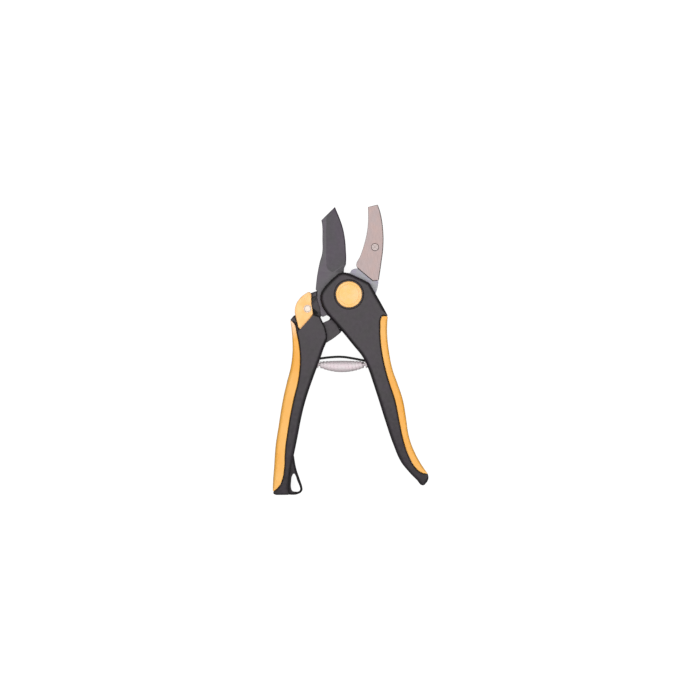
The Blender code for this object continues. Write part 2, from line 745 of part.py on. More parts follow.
def catch_window_outline():
    """The notch in the handle's front that shows the catch's tail."""
    return sharp((-40.2, -9), (-40.2, -15.4), (-37.2, -26.6), (-26.6, -14.3), (-22, -9))


def lanyard_loop_outline():
    return (
        sharp((-48, -117), (-40.9, -118))
        + smooth((-39.1, -128.5), (-36.3, -137.1), (-34.5, -142.8), (-34.5, -145), (-36.8, -147.4))
        + sharp((-48, -148))
    )


def lanyard_hole_outline():
    return (
        smooth((-40.6, -132.6), (-42.1, -134.4), (-42.8, -138), (-42.8, -143.6), (-42, -145.4))
        + smooth((-39.4, -146.1), (-37, -145.7), (-36.1, -144.2), (-36.4, -142.2))
        + smooth((-38.2, -137.8), (-39.6, -133.8))
    )


def make_left_handle():
    outline = left_handle_outline()
    body = handle_block("left_handle_body", outline)
    cut(
        body,
        plate("catch_slot", catch_slot_outline(), PLATFORM_FRONT + GAP, CATCH_SLOT_FRONT),
        plate("catch_window", catch_window_outline(), CATCH_WINDOW_BACK, OVER_ALL),
    )
    joined(
        body,
        plate("pivot_arm", pivot_arm_outline(), CHEEK_BACK, CHEEK_FRONT, STEEL_EDGE),
        plate("flange_block", flange_outline(), FLANGE_BACK, FLANGE_FRONT, STEEL_EDGE),
        plate("catch_platform", platform_outline(), PLATFORM_BACK, PLATFORM_FRONT, STEEL_EDGE),
        plate("heel_wall", wall_outline(), WALL_BACK, WALL_FRONT),
        plate("lanyard_loop", lanyard_loop_outline(), LOOP_BACK, LOOP_FRONT, PLASTIC_EDGE),
    )
    cut(
        body,
        plate("left_grip_room", left_grip_band(), UNDER_ALL, OVER_ALL, grow=GAP),
        plate("carrier_slot", carrier_outline(), CHEEK_FRONT, CARRIER_FRONT + GAP, grow=GAP),
        plate("lanyard_hole", lanyard_hole_outline(), UNDER_ALL, OVER_ALL),
        rod("nut_recess", NUT_RECESS_RADIUS, UNDER_ALL, NUT_RECESS_DEPTH, steps=ROUND_STEPS),
        rod("cheek_pivot_hole", BUSH_RADIUS + GAP, UNDER_ALL, CARRIER_FRONT, steps=ROUND_STEPS),
        turned("catch_rivet_bore", CATCH_BORE, CATCH_CENTRE, SMALL_ROUND_STEPS),
        seat_pocket("left_seat_pocket", 0),
        retainer_room("left_retainer_room"),
        *screw_bores(LEFT_SCREWS),
    )
    finished(body, BLACK_PLASTIC)
    grip = handle_block("left_grip", outline)
    shape = plate("left_grip_shape", left_grip_band(), UNDER_ALL, OVER_ALL)
    combined(grip, "INTERSECT", shape)
    finished(grip, YELLOW_PLASTIC)
    spring_seat("left_spring_seat", 0)
    make_screws(LEFT_SCREWS)


# --- Catch --------------------------------------------------------------------------------

CATCH_BORE = [(0, 20), (1.8, 20), (1.8, 4.2), (3.0, 4.2), (3.0, -1), (0, -1)]


def make_catch():
    """The lever, and behind it the pawl with its peg in the lever; both turn on the rivet."""
    bore = CATCH_RIVET_RADIUS + RUNNING_GAP
    peg_at = polar(PAWL_PEG_AT, TAIL_START + 5, CATCH_CENTRE)
    lever = plate("catch_lever", catch_outline(), CATCH_BACK, CATCH_FRONT, PLASTIC_EDGE)
    cut(
        lever,
        rod("lever_hole", bore, UNDER_ALL, OVER_ALL, CATCH_CENTRE),
        rod("peg_room", PAWL_PEG_RADIUS + RUNNING_GAP, UNDER_ALL, PAWL_PEG_FRONT + GAP, peg_at),
    )
    pawl = plate("catch_pawl", pawl_outline(), PAWL_BACK, PAWL_FRONT)
    joined(pawl, rod("pawl_peg", PAWL_PEG_RADIUS, PAWL_BACK + GAP, PAWL_PEG_FRONT, peg_at))
    cut(pawl, rod("pawl_hole", bore, UNDER_ALL, OVER_ALL, CATCH_CENTRE))
    return [finished(lever, CATCH_PLASTIC), finished(pawl, BLACK_STEEL)]


def make_catch_rivet():
    shank = CATCH_RIVET_RADIUS
    profile = [(0, 17.5), (1.4, 17.35), (2.2, 16.9), (2.5, 16.45), (shank, 16.45)]
    profile += [(shank, 3.9), (2.7, 3.9), (2.4, 2.8), (0, 2.6)]
    finished(turned("catch_rivet", profile, CATCH_CENTRE, SMALL_ROUND_STEPS), BARE_STEEL)
    washer = ring("catch_washer", 1.6, 2.9, 15.95, 16.3, CATCH_CENTRE, SMALL_ROUND_STEPS)
    finished(washer, BLACK_STEEL)


def make_retainer():
    strip = plate("retaining_strip", retainer_outline(), RETAINER_BACK, RETAINER_FRONT)
    finished(strip, BLACK_STEEL)


# --- Assembly -----------------------------------------------------------------------------

HOOK_HANDLE_PIECES = (
    "left_handle_body",
    "left_grip",
    "left_spring_seat",
    "left_screw_upper",
    "left_screw_lower",
    "hook_carrier",
    "hook_blade",
    "hook_rivet_upper",
    "hook_rivet_lower",
    "pivot_bush",
    "closing_bumper",
    "catch_rivet",
    "catch_washer",
)


def pivot_empty(name, centre, parent=None):
    empty = placed(name, None)
    empty.location = (centre[0] * MM, centre[1] * MM, 0)
    empty.parent = parent
    return empty


def hang(item, empty):
    """Parents a piece to its joint's empty without moving it."""
    bpy.context.view_layer.update()
    item.parent = empty
    item.matrix_parent_inverse = empty.matrix_world.inverted()


def main():
    clear_scene()
    make_blade()
    make_right_handle()
    make_pivot()
    make_carrier()
    make_hook()
    make_hook_rivets()
    make_left_handle()
    make_bumper()
    catch_pieces = make_catch()
    make_catch_rivet()
    make_spring()
    make_retainer()
    main_pivot = pivot_empty("main_pivot", (0, 0))
    catch_pivot = pivot_empty("catch_pivot", CATCH_CENTRE, main_pivot)
    for name in HOOK_HANDLE_PIECES:
        hang(bpy.data.objects[name], main_pivot)
    for piece in catch_pieces:
        hang(piece, catch_pivot)


main()
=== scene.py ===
"""The looks of the bypass pruning shears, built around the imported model.

Every piece is made in the frame's own axes: X right, Y from the pivot to the blade tips, Z up
from the surface that the handles rest on, with the origin on the pivot's axis. Lengths are
millimetres and angles degrees; MM turns lengths into metres. Heights, centres and radii of the
fastened pieces come from the frame, and outlines are plain points, smooth or sharp.
"""

import math
from itertools import accumulate

import bmesh
import bpy
import numpy
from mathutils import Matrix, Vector


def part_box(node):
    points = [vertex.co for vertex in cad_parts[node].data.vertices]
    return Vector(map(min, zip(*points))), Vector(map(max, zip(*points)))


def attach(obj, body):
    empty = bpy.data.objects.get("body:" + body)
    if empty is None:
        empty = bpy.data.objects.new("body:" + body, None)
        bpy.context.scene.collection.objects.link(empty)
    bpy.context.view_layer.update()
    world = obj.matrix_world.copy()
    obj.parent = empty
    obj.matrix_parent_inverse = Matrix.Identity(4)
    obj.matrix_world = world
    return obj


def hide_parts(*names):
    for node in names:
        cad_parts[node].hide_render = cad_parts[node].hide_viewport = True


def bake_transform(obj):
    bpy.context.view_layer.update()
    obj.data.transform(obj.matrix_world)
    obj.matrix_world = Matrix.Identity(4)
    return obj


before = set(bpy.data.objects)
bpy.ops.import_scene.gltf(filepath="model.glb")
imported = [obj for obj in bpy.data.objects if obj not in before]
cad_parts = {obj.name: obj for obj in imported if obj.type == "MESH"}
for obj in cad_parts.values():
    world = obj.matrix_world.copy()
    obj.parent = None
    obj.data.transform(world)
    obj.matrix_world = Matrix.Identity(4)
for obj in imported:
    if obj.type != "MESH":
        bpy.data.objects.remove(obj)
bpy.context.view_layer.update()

MM = 0.001


def heights(node):
    """A CAD node's back and front."""
    low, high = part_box(node)
    return low.z / MM, high.z / MM


def centre(node):
    low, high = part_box(node)
    middle = (low + high) / 2 / MM
    return middle.x, middle.y


def radius(node):
    low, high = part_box(node)
    return (high.x - low.x) / 2 / MM


# --- Sizes ---

HANDLE_FRONT = heights("right_handle_body")[1]
BLADE_BACK, BLADE_FRONT = heights("cutting_blade")
HOOK_FRONT = heights("hook_blade")[1]
CARRIER_BACK, CARRIER_FRONT = heights("hook_carrier")
LEVER_BACK, LEVER_FRONT = heights("catch_lever")
CAP_BACK, CAP_FRONT = heights("pivot_cap")
RETAINER_BACK, RETAINER_FRONT = heights("retaining_strip")

CATCH_CENTRE = centre("catch_rivet")
CAP_RADIUS = radius("pivot_cap")
BOLT_RADIUS = 4.0
BUSH_RADIUS = radius("pivot_bush")
RIVET_CENTRE = centre("hook_rivet_upper")
LOWER_RIVET_CENTRE = centre("hook_rivet_lower")

GAP, TANG_GAP = 0.3, 0.2
HEAD_BACK = BLADE_FRONT + GAP
TONGUE_FRONT = 7.9
CHEEK_BACK, CHEEK_FRONT = 1.0, 6.0
CHEEK_RADIUS = 15.4
FLANGE_BACK, FLANGE_FRONT = 3.0, 12.6
PLATFORM_BACK, PLATFORM_FRONT = 1.4, 9.8
WALL_BACK, WALL_FRONT = 5.0, 13.6
LOOP_BACK, LOOP_FRONT = 4.6, 12.8
CAP_RECESS_RADIUS = CAP_RADIUS + 1.0
CAP_RECESS_FLOOR = 15.0
NUT_RECESS_RADIUS, NUT_RECESS_DEPTH = 8.4, 4.0
HEAD_POCKET_RADIUS = 20.6
HEEL_RADIUS, LOBE_RADIUS = 23.7, 26.1
RAMP_START, RAMP_END = 205.0, 217.8
CLOSING_ANGLE = 24.0
TAIL_LENGTH, TAIL_START, CATCH_TURN = 16.1, 247.0, 38.0
SLOT_REACH = TAIL_LENGTH + 0.9
TANG_HOLE, RIVET_HOLE, LOWER_RIVET_TOP = 1.8, 1.7, 9.1
LEVER_HOLE, PEG_HOLE, PEG_HOLE_TOP = 1.6, 1.2, 14.7
PEG_REACH, PEG_TURN = 7.8, 5.0
CROSS_REACH, CROSS_HALF_WIDTH, CROSS_FLOOR = 1.6, 0.3, 1.5
GROOVE_DEPTH = 0.25
WINDOW_FLOOR = 14.0
SEAM = 0.06
UNDER_ALL, OVER_ALL = -5.0, 25.0

HANDLE_RIM = 3.0
GRIP_RIM = 3.0
BODY_SEAM_RIM = 1.5
GRIP_SEAM_RIM = 0.6
SEAM_CLOSE, SEAM_FAR = 0.6, 3.0
LEFT_TOP_RIM, LEFT_INNER_RIM = 2.6, 1.7
BLADE_RIM, PLATE_RIM = 0.6, 0.25
HOOK_OUTER_RIM, HOOK_STEP_RIM, HOOK_INNER_RIM = 1.0, 0.7, 0.35
LOOP_CORNER, LOOP_RIM, EYE_LIP = 2.0, 1.6, 0.7
CORNER = 1.2
RECESS_LIP = 0.9

# The blade's two ground faces: the edge's width, and their heights over the blade's back.
EDGE_GRIND, PAST_EDGE = 1.0, 1.0
HOLLOW_AT_EDGE = 0.75
GRIND_TOP, GRIND_PAST_EDGE = 1.07, -0.8

# The spring: its ends along X, its line's Y and Z, and the strip that it is wound from.
SPRING_LEFT, SPRING_RIGHT = -22.2, 12.0
SPRING_LEVEL, SPRING_HEIGHT, SPRING_SAG = -51.7, 8.7, 1.6
SPRING_TURNS, SPRING_STEPS = 12, 48
STRIP_WIDTH, STRIP_THICKNESS = 3.7, 0.3
CONE_END_RADIUS, CONE_WIDENING, CONE_CURVE = 2.25, 1.95, 0.9
RETAINER_THICKNESS, RETAINER_RIM = 1.7, 0.2

# Places where a moulding's look changes.
GRIP_TOP = (-43.0, -18.0, 18.0)
HEAD_END = (0.0, 0.0, 18.0)

# Faces meet in a crease over CREASE degrees, and outlines turn a corner over SHARP_TURN.
CREASE, BLADE_CREASE = 35, 4
SHARP_TURN = math.radians(15)

# Limits and step counts of the functions that make shapes.
FILLET_SHARE = 0.45
LEAST_STEP, LEAST_WIDTH, LEAST_LEAN, LEAST_TURN = 0.02, 0.05, 0.5, 0.01
NEARLY_ZERO, FAR_AWAY = 1e-9, 1000.0
CURVE_STEPS, SEAM_STEPS, GRINDING_STEPS = 9, 500, 60
RIM_STEPS, FILLET_STEPS = 6, 6
UNTANGLING_ROUNDS, UNTANGLING_SHARE = 40, 0.85
ROUND_STEPS, SMALL_STEPS, FINE_STEPS, CAP_STEPS = 96, 48, 64, 128
QUARTER_TURN = [math.pi / 2 * k / RIM_STEPS for k in range(RIM_STEPS + 1)]

# The camera's view, and the soft box: how its light grows with the height of a direction.
VIEW_CENTRE = (0.8, -41.1)
VIEW_WIDTH = 518.0
VIEW_HEIGHT = 12.0
CAMERA_HEIGHT = 4000.0
FLOOR_GLOW = 0.9
SOFT_BOX = (0.42, 0.84, 0.05, 2.33)


# --- Objects ---


def placed(name, data):
    item = bpy.data.objects.new(name, data)
    bpy.context.scene.collection.objects.link(item)
    return item


def built(name, cage):
    """An object with a cage's faces."""
    mesh = bpy.data.meshes.new(name)
    cage.to_mesh(mesh)
    cage.free()
    return placed(name, mesh)


def evaluated_mesh(item):
    bpy.context.view_layer.update()
    depsgraph = bpy.context.evaluated_depsgraph_get()
    return bpy.data.meshes.new_from_object(item.evaluated_get(depsgraph))


# --- Points ---


def polar(length, degrees, middle=(0.0, 0.0)):
    turn = math.radians(degrees)
    return middle[0] + length * math.cos(turn), middle[1] + length * math.sin(turn)


def arc(length, start, end, steps, middle=(0.0, 0.0)):
    return [polar(length, start + (end - start) * i / steps, middle) for i in range(steps + 1)]


def smooth(*points):
    return [(x, y, "AUTO") for x, y in points]


def sharp(*points):
    return [(x, y, "VECTOR") for x, y in points]


def traced(points, closed=True):
    """The dense line through outline points, as a list of (x, y)."""
    curve = bpy.data.curves.new("trace", "CURVE")
    curve.dimensions = "2D"
    curve.fill_mode = "NONE"
    curve.resolution_u = CURVE_STEPS
    spline = curve.splines.new("BEZIER")
    spline.bezier_points.add(len(points) - 1)
    spline.use_cyclic_u = closed
    for knot, (x, y, kind) in zip(spline.bezier_points, points):
        knot.co = (x, y, 0)
        knot.handle_left_type = kind
        knot.handle_right_type = kind
    holder = placed("trace", curve)
    mesh = evaluated_mesh(holder)
    line = [(v.co.x, v.co.y) for v in mesh.vertices]
    bpy.data.objects.remove(holder)
    bpy.data.meshes.remove(mesh)
    return line


def open_line(points):
    return traced(points, closed=False)


def turn_at(before, at, after):
    """The angle in radians by which a line turns left at a point."""
    a = Vector(at) - Vector(before)
    b = Vector(after) - Vector(at)
    return math.atan2(a.x * b.y - a.y * b.x, a.dot(b))


def distances(line):
    """How far along an open line each of its points is."""
    return list(accumulate(map(math.dist, line, line[1:]), initial=0.0))


def point_on(line, starts, place):
    """The point at a distance along a closed line whose points start at the given distances."""
    total = starts[-1]
    place %= total
    for i, point in enumerate(line):
        if starts[i] <= place <= starts[i + 1]:
            share = (place - starts[i]) / max(starts[i + 1] - starts[i], NEARLY_ZERO)
            return Vector(point).lerp(Vector(line[(i + 1) % len(line)]), share)
    return Vector(line[0])


def softened(line, size=CORNER):
    """A closed line whose corners are rounded, each cut back by up to size along the line."""
    count = len(line)
    starts = distances(line + line[:1])
    total = starts[-1]
    turns = [abs(turn_at(line[i - 1], line[i], line[(i + 1) % count])) for i in range(count)]
    corners = [i for i in range(count) if turns[i] > SHARP_TURN]
    if not corners:
        return line
    spots = [(starts[i], line[i]) for i in range(count)]
    for n, i in enumerate(corners):
        before = (starts[i] - starts[corners[n - 1]]) % total or total
        after = (starts[corners[(n + 1) % len(corners)]] - starts[i]) % total or total
        back = min(size, before * FILLET_SHARE)
        ahead = min(size, after * FILLET_SHARE)
        spots = [
            (place, point)
            for place, point in spots
            if (place - starts[i] + back) % total > back + ahead
        ]
        start = point_on(line, starts, starts[i] - back)
        end = point_on(line, starts, starts[i] + ahead)
        corner = Vector(line[i])
        for k in range(FILLET_STEPS + 1):
            t = k / FILLET_STEPS
            point = start.lerp(corner, t).lerp(corner.lerp(end, t), t)
            place = (starts[i] - back + (back + ahead) * t) % total
            spots.append((place, (point.x, point.y)))
    return [point for _, point in sorted(spots)]


def thinned(line):
    """A closed line without points that lie on top of each other."""
    made = [line[0]]
    for point in line[1:]:
        if math.dist(point, made[-1]) > LEAST_STEP:
            made.append(point)
    if math.dist(made[0], made[-1]) <= LEAST_STEP:
        made.pop()
    return made


def shifted(line, distance):
    """An open line moved to its left by a distance."""
    made = []
    last = len(line) - 1
    for i, (x, y) in enumerate(line):
        a, b = line[max(i - 1, 0)], line[min(i + 1, last)]
        along = Vector((b[0] - a[0], b[1] - a[1])).normalized()
        made.append((x - along.y * distance, y + along.x * distance))
    return made


def evenly(line, count):
    """An open line's points, spaced evenly along it."""
    lengths = distances(line)
    places = numpy.linspace(0, lengths[-1], count)
    xs = numpy.interp(places, lengths, [x for x, _ in line])
    ys = numpy.interp(places, lengths, [y for _, y in line])
    return list(zip(xs.tolist(), ys.tolist()))


def outline(points, corner=0.0):
    """A closed outline's dense line, with its corners rounded by a size where one is given."""
    line = thinned(traced(points))
    return softened(line, corner) if corner else line


def anticlockwise(line):
    area = sum(a[0] * b[1] - b[0] * a[1] for a, b in zip(line, line[1:] + line[:1]))
    return line if area > 0 else line[::-1]


# --- Solids ---


def meetings(point, ray, starts, along):
    """How far along a ray it meets the line of each side of a ring, and which sides it meets."""
    apart = starts - point
    crossing = ray[0] * along[:, 1] - ray[1] * along[:, 0]
    level = numpy.abs(crossing) < NEARLY_ZERO
    safe = numpy.where(level, 1.0, crossing)
    distance = (apart[:, 0] * along[:, 1] - apart[:, 1] * along[:, 0]) / safe
    share = (apart[:, 0] * ray[1] - apart[:, 1] * ray[0]) / safe
    return distance, ~level & (share >= 0) & (share <= 1)


def widths(line, directions):
    """The clear distance inward from each point of a closed line to its other side."""
    starts = numpy.array(line)
    along = numpy.roll(starts, -1, axis=0) - starts
    found = []
    for point, ray in zip(starts, directions):
        distance, met = meetings(point, ray, starts, along)
        ahead = distance[met & (distance > LEAST_WIDTH)]
        found.append(float(ahead.min()) if ahead.size else FAR_AWAY)
    return found


# A rim takes at most these shares of the room inside a bend and across a narrow place, and
# its size changes along the line by at most this slope.
BEND_SHARE, WIDTH_SHARE, RIM_SLOPE = 0.85, 0.42, 0.5


def inward(line, rim, grows):
    """For each point of an anticlockwise line, its inward direction and the size of its rim.

    rim is a size, or a function of x and y. It shrinks where the line turns too tightly for
    it or where the shape is too narrow, and eases back along the line.
    """
    size = rim if callable(rim) else lambda x, y: rim
    count = len(line)
    directions, limits = [], []
    for i, at in enumerate(line):
        before, after = line[i - 1], line[(i + 1) % count]
        a = (Vector(at) - Vector(before)).normalized()
        b = (Vector(after) - Vector(at)).normalized()
        normal = Vector((-a.y - b.y, a.x + b.x)).normalized()
        lean = max(normal.dot(Vector((-a.y, a.x))), LEAST_LEAN)
        directions.append(normal / lean)
        turn = turn_at(before, at, after) * (-1 if grows else 1)
        reach = (math.dist(before, at) + math.dist(at, after)) / 2
        room = BEND_SHARE * reach / turn if turn > LEAST_TURN else FAR_AWAY
        limits.append(min(size(*at), room))
    if not grows:
        across = widths(line, directions)
        limits = [min(limit, WIDTH_SHARE * width) for limit, width in zip(limits, across)]
    for order in (range(2 * count), range(2 * count, 0, -1)):
        previous = None
        for i in order:
            i %= count
            if previous is not None:
                step = RIM_SLOPE * math.dist(line[previous], line[i])
                limits[i] = min(limits[i], limits[previous] + step)
            previous = i
    return directions, limits


def crossings(ring):
    """Which sides of a closed ring cross another of its sides."""
    starts = numpy.array(ring)
    along = numpy.roll(starts, -1, axis=0) - starts
    count = len(starts)
    found = set()
    for i in range(count):
        distance, met = meetings(starts[i], along[i], starts, along)
        met &= (distance >= 0) & (distance <= 1)
        met[[i, (i + 1) % count, i - 1]] = False
        found.update(numpy.flatnonzero(met).tolist())
    return found


def untangled(line, directions, limits, share):
    """The rims' sizes, made smaller wherever the ring they lead to would cross itself."""
    for _ in range(UNTANGLING_ROUNDS):
        ring = [
            (x + d.x * limit * share, y + d.y * limit * share)
            for (x, y), d, limit in zip(line, directions, limits)
        ]
        found = crossings(ring)
        if not found:
            break
        for i in found:
            for near in range(-2, 4):
                limits[(i + near) % len(limits)] *= UNTANGLING_SHARE
    return limits


def swept(name, rows):
    """A closed piece through rows of (x, y, z) points, one row after another."""
    cage = bmesh.new()
    rings = [[cage.verts.new(Vector(spot) * MM) for spot in row] for row in rows]
    for before, after in zip(rings, rings[1:]):
        for k in range(len(before)):
            cage.faces.new((before[k - 1], before[k], after[k], after[k - 1]))
    cage.faces.new(rings[0][::-1])
    cage.faces.new(rings[-1])
    bmesh.ops.recalc_face_normals(cage, faces=cage.faces)
    return built(name, cage)


def loft(name, line, profile, rim=1.0):
    """A solid with a flat back and front, as rings of a line from its back to its front.

    A profile row is (share of the rim that the ring is moved in, height, share of the rim
    that it is raised). A negative share grows out.
    """
    line = anticlockwise(line)
    directions, limits = inward(line, rim, any(share < 0 for share, _, _ in profile))
    farthest = max((share for share, _, _ in profile), key=abs)
    if farthest:
        limits = untangled(line, directions, limits, farthest)
    rows = []
    for share, height, lift in profile:
        row = []
        for (x, y), direction, limit in zip(line, directions, limits):
            moved = direction * (limit * share)
            row.append((x + moved.x, y + moved.y, height + limit * lift))
        rows.append(row)
    return swept(name, rows)


# Rims, from the side up to the front, as shares of their size: (moved in, raised).
ROUND_RIM = [(1 - math.cos(t), math.sin(t) - 1) for t in QUARTER_TURN]
EASED_RIM = [(0.0, -1.0), (0.01, -0.86), (0.04, -0.73), (0.1, -0.59), (0.2, -0.44)]
EASED_RIM += [(0.35, -0.285), (0.52, -0.165), (0.7, -0.075), (0.86, -0.02), (1.0, 0.0)]
CROWNED_RIM = [(0.0, -2.2), (0.1, -1.7), (0.3, -1.15), (0.55, -0.6), (0.8, -0.2), (1.0, 0.0)]


def edged(back, front, rim):
    """Profile rows of a slab with the same rim on its back and front."""
    return [(i, back, -d) for i, d in reversed(rim)] + [(i, front, d) for i, d in rim]


def slab(name, line, back, front, rim=0.0):
    """A flat piece; rim, a size or a function of x and y, rounds its edges."""
    if not rim:
        return loft(name, line, [(0, back, 0), (0, front, 0)])
    return loft(name, line, edged(back, front, ROUND_RIM), rim)


def flared(name, line, surface, flare):
    """A cutter that rounds the rim of the hole it makes in a surface at a given height."""
    rows = [(0, UNDER_ALL, 0)]
    rows += [(math.cos(t) - 1, surface, math.sin(t) - 1) for t in QUARTER_TURN]
    rows.append((-1, OVER_ALL, 0))
    return loft(name, line, rows, flare)


def grown(line, distance):
    """A closed line moved outward by a distance."""
    line = anticlockwise(line)
    directions, _ = inward(line, distance, True)
    return [(x - d.x * distance, y - d.y * distance) for (x, y), d in zip(line, directions)]


def spun(name, profile, middle=(0.0, 0.0), steps=ROUND_STEPS):
    """A round piece about a line along Z; the profile is closed, or starts and ends on it."""
    cage = bmesh.new()
    columns = []
    for i in range(steps):
        turn = 2 * math.pi * i / steps
        column = []
        for k, (length, height) in enumerate(profile):
            if length == 0 and i > 0:
                column.append(columns[0][k])
                continue
            spot = polar(length, math.degrees(turn), middle)
            column.append(cage.verts.new((spot[0] * MM, spot[1] * MM, height * MM)))
        columns.append(column)
    on_axis = profile[0][0] == 0
    rows = len(profile) - 1 if on_axis else len(profile)
    for i, column in enumerate(columns):
        after = columns[(i + 1) % steps]
        for k in range(rows):
            n = (k + 1) % len(profile)
            corners = []
            for vertex in (column[k], column[n], after[n], after[k]):
                if vertex not in corners:
                    corners.append(vertex)
            cage.faces.new(corners)
    bmesh.ops.recalc_face_normals(cage, faces=cage.faces)
    return built(name, cage)


def peg(name, length, back, front, middle=(0.0, 0.0), steps=SMALL_STEPS):
    return spun(name, [(0, front), (length, front), (length, back), (0, back)], middle, steps)


def through(name, length, middle=(0.0, 0.0)):
    """A round cutter that goes through everything."""
    return peg(name, length, UNDER_ALL, OVER_ALL, middle)


def combined(piece, operation, *others):
    """Cuts other shapes from a piece, or joins them to it, and removes them."""
    for other in others:
        modifier = piece.modifiers.new("shape", "BOOLEAN")
        modifier.operation = operation
        modifier.solver = "EXACT"
        modifier.object = other
    mesh = evaluated_mesh(piece)
    piece.modifiers.clear()
    piece.data = mesh
    for other in others:
        bpy.data.objects.remove(other)


def cut(piece, *cutters):
    combined(piece, "DIFFERENCE", *cutters)


def finished(piece, look, body, slot, *nodes, crease=CREASE):
    """Gives a piece its material and creases, and fastens it where its CAD nodes are."""
    piece.data.materials.clear()
    piece.data.materials.append(look)
    piece.data.shade_smooth()
    piece.data.set_sharp_from_angle(angle=math.radians(crease))
    evened = piece.modifiers.new("evened", "WEIGHTED_NORMAL")
    evened.keep_sharp = True
    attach(piece, body)
    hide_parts(*nodes)


# --- Materials ---


def map_range(nodes, links, value, limits):
    """A node that carries a value from one range to another: from, from, to, to."""
    ramp = nodes.new("ShaderNodeMapRange")
    for socket, number in zip(("From Min", "From Max", "To Min", "To Max"), limits):
        ramp.inputs[socket].default_value = number
    links.new(value, ramp.inputs["Value"])
    return ramp


# Nearly all of a noise texture's values lie between these.
NOISE_SPAN = (0.3, 0.7)


class Look:
    """A material under construction; its sizes are millimetres."""

    def __init__(self, name, base, roughness, metallic=0.0, **sockets):
        self.material = bpy.data.materials.new(name)
        self.material.use_nodes = True
        self.nodes = self.material.node_tree.nodes
        self.links = self.material.node_tree.links
        self.shader = self.nodes["Principled BSDF"]
        self.roughness = roughness
        self.set("Base Color", (*base, 1))
        self.set("Roughness", roughness)
        self.set("Metallic", metallic)
        for socket, value in sockets.items():
            self.set(socket.replace("_", " "), value)
        self.coordinates = self.nodes.new("ShaderNodeTexCoord").outputs["Object"]

    def set(self, socket, value):
        self.shader.inputs[socket].default_value = value

    def noise(self, feature, detail=3.0, stretch=(1, 1, 1), turn=0.0):
        """Noise with features of a size, drawn out along an axis by stretch."""
        mapping = self.nodes.new("ShaderNodeMapping")
        mapping.inputs["Scale"].default_value = [1 / s for s in stretch]
        mapping.inputs["Rotation"].default_value = (0, 0, math.radians(turn))
        self.links.new(self.coordinates, mapping.inputs["Vector"])
        texture = self.nodes.new("ShaderNodeTexNoise")
        texture.inputs["Scale"].default_value = 1 / (feature * MM)
        texture.inputs["Detail"].default_value = detail
        self.links.new(mapping.outputs["Vector"], texture.inputs["Vector"])
        return texture.outputs["Fac"]

    def around(self, middle, near, far, at_near, at_far):
        """A value that runs from at_near to at_far between two distances from a place."""
        apart = self.nodes.new("ShaderNodeVectorMath")
        apart.operation = "DISTANCE"
        self.links.new(self.coordinates, apart.inputs[0])
        apart.inputs[1].default_value = Vector(middle) * MM
        return self.ranged(apart.outputs["Value"], near * MM, far * MM, at_near, at_far)

    def ranged(self, value, low, high, to_low=0.0, to_high=1.0):
        ramp = map_range(self.nodes, self.links, value, (low, high, to_low, to_high))
        return ramp.outputs["Result"]

    def blended(self, share, first, second):
        """A colour between two, each a colour or a node's output."""
        mix = self.nodes.new("ShaderNodeMix")
        mix.data_type = "RGBA"
        sockets = [s for s in mix.inputs if s.enabled]
        for socket, value in zip(sockets, (share, first, second)):
            if isinstance(value, bpy.types.NodeSocket):
                self.links.new(value, socket)
            else:
                socket.default_value = (*value, 1)
        return next(s for s in mix.outputs if s.enabled)

    def patches(self, feature, detail, limits, first, second, stretch=(1, 1, 1)):
        """A colour that goes from first to second as noise rises between two limits."""
        share = self.ranged(self.noise(feature, detail, stretch), *limits)
        return self.blended(share, first, second)

    def colour(self, output):
        self.links.new(output, self.shader.inputs["Base Color"])

    def rough(self, value, spread, added=None):
        """Roughness that varies with a noise value about the look's own, with more added."""
        low, high = self.roughness - spread, self.roughness + spread
        result = self.ranged(value, *NOISE_SPAN, low, high)
        if added is not None:
            total = self.nodes.new("ShaderNodeMath")
            self.links.new(result, total.inputs[0])
            self.links.new(added, total.inputs[1])
            result = total.outputs["Value"]
        self.links.new(result, self.shader.inputs["Roughness"])

    def bumps(self, *layers):
        """Bump from (noise value, depth) layers, one over the other."""
        normal = None
        for value, depth in layers:
            bump = self.nodes.new("ShaderNodeBump")
            bump.inputs["Strength"].default_value = 1.0
            bump.inputs["Distance"].default_value = depth * MM
            self.links.new(value, bump.inputs["Height"])
            if normal is not None:
                self.links.new(normal, bump.inputs["Normal"])
            normal = bump.outputs["Normal"]
        self.links.new(normal, self.shader.inputs["Normal"])


def black_moulding():
    """Satin black plastic with a fine grain, faint casts in patches, and duller worn ends."""
    look = Look("black_moulding", (0.008, 0.007, 0.008), 0.4, Specular_Tint=(1.0, 0.92, 0.98, 1))
    cast = look.patches(9, 2, (0.35, 0.65), (0.007, 0.007, 0.0062), (0.0095, 0.0062, 0.01))
    look.colour(look.patches(1.6, 6, (0.62, 0.78), cast, (0.016, 0.0145, 0.0165)))
    look.rough(look.noise(2.4, 4), 0.07, look.around(HEAD_END, 40, 150, 0.0, 0.3))
    look.bumps((look.noise(0.22, 2), 0.012), (look.noise(5, 1), 0.03))
    return look.material


def grip_moulding():
    """Softer orange-yellow plastic, lighter where it is rubbed, pale at the top, grimy in spots."""
    look = Look("grip_moulding", (0.8, 0.36, 0.03), 0.48)
    base = (0.675, 0.302, 0.03)
    base = look.patches(14, 3, (0.4, 0.68), base, (0.685, 0.362, 0.081), (1, 2.2, 1))
    base = look.blended(look.around(GRIP_TOP, 3, 15, 1.0, 0.0), base, (0.72, 0.47, 0.3))
    look.colour(look.patches(2.6, 7, (0.64, 0.8), base, (0.56, 0.24, 0.04)))
    look.rough(look.noise(3, 4), 0.06)
    look.bumps((look.noise(0.3, 2), 0.014), (look.noise(7, 1), 0.04))
    return look.material


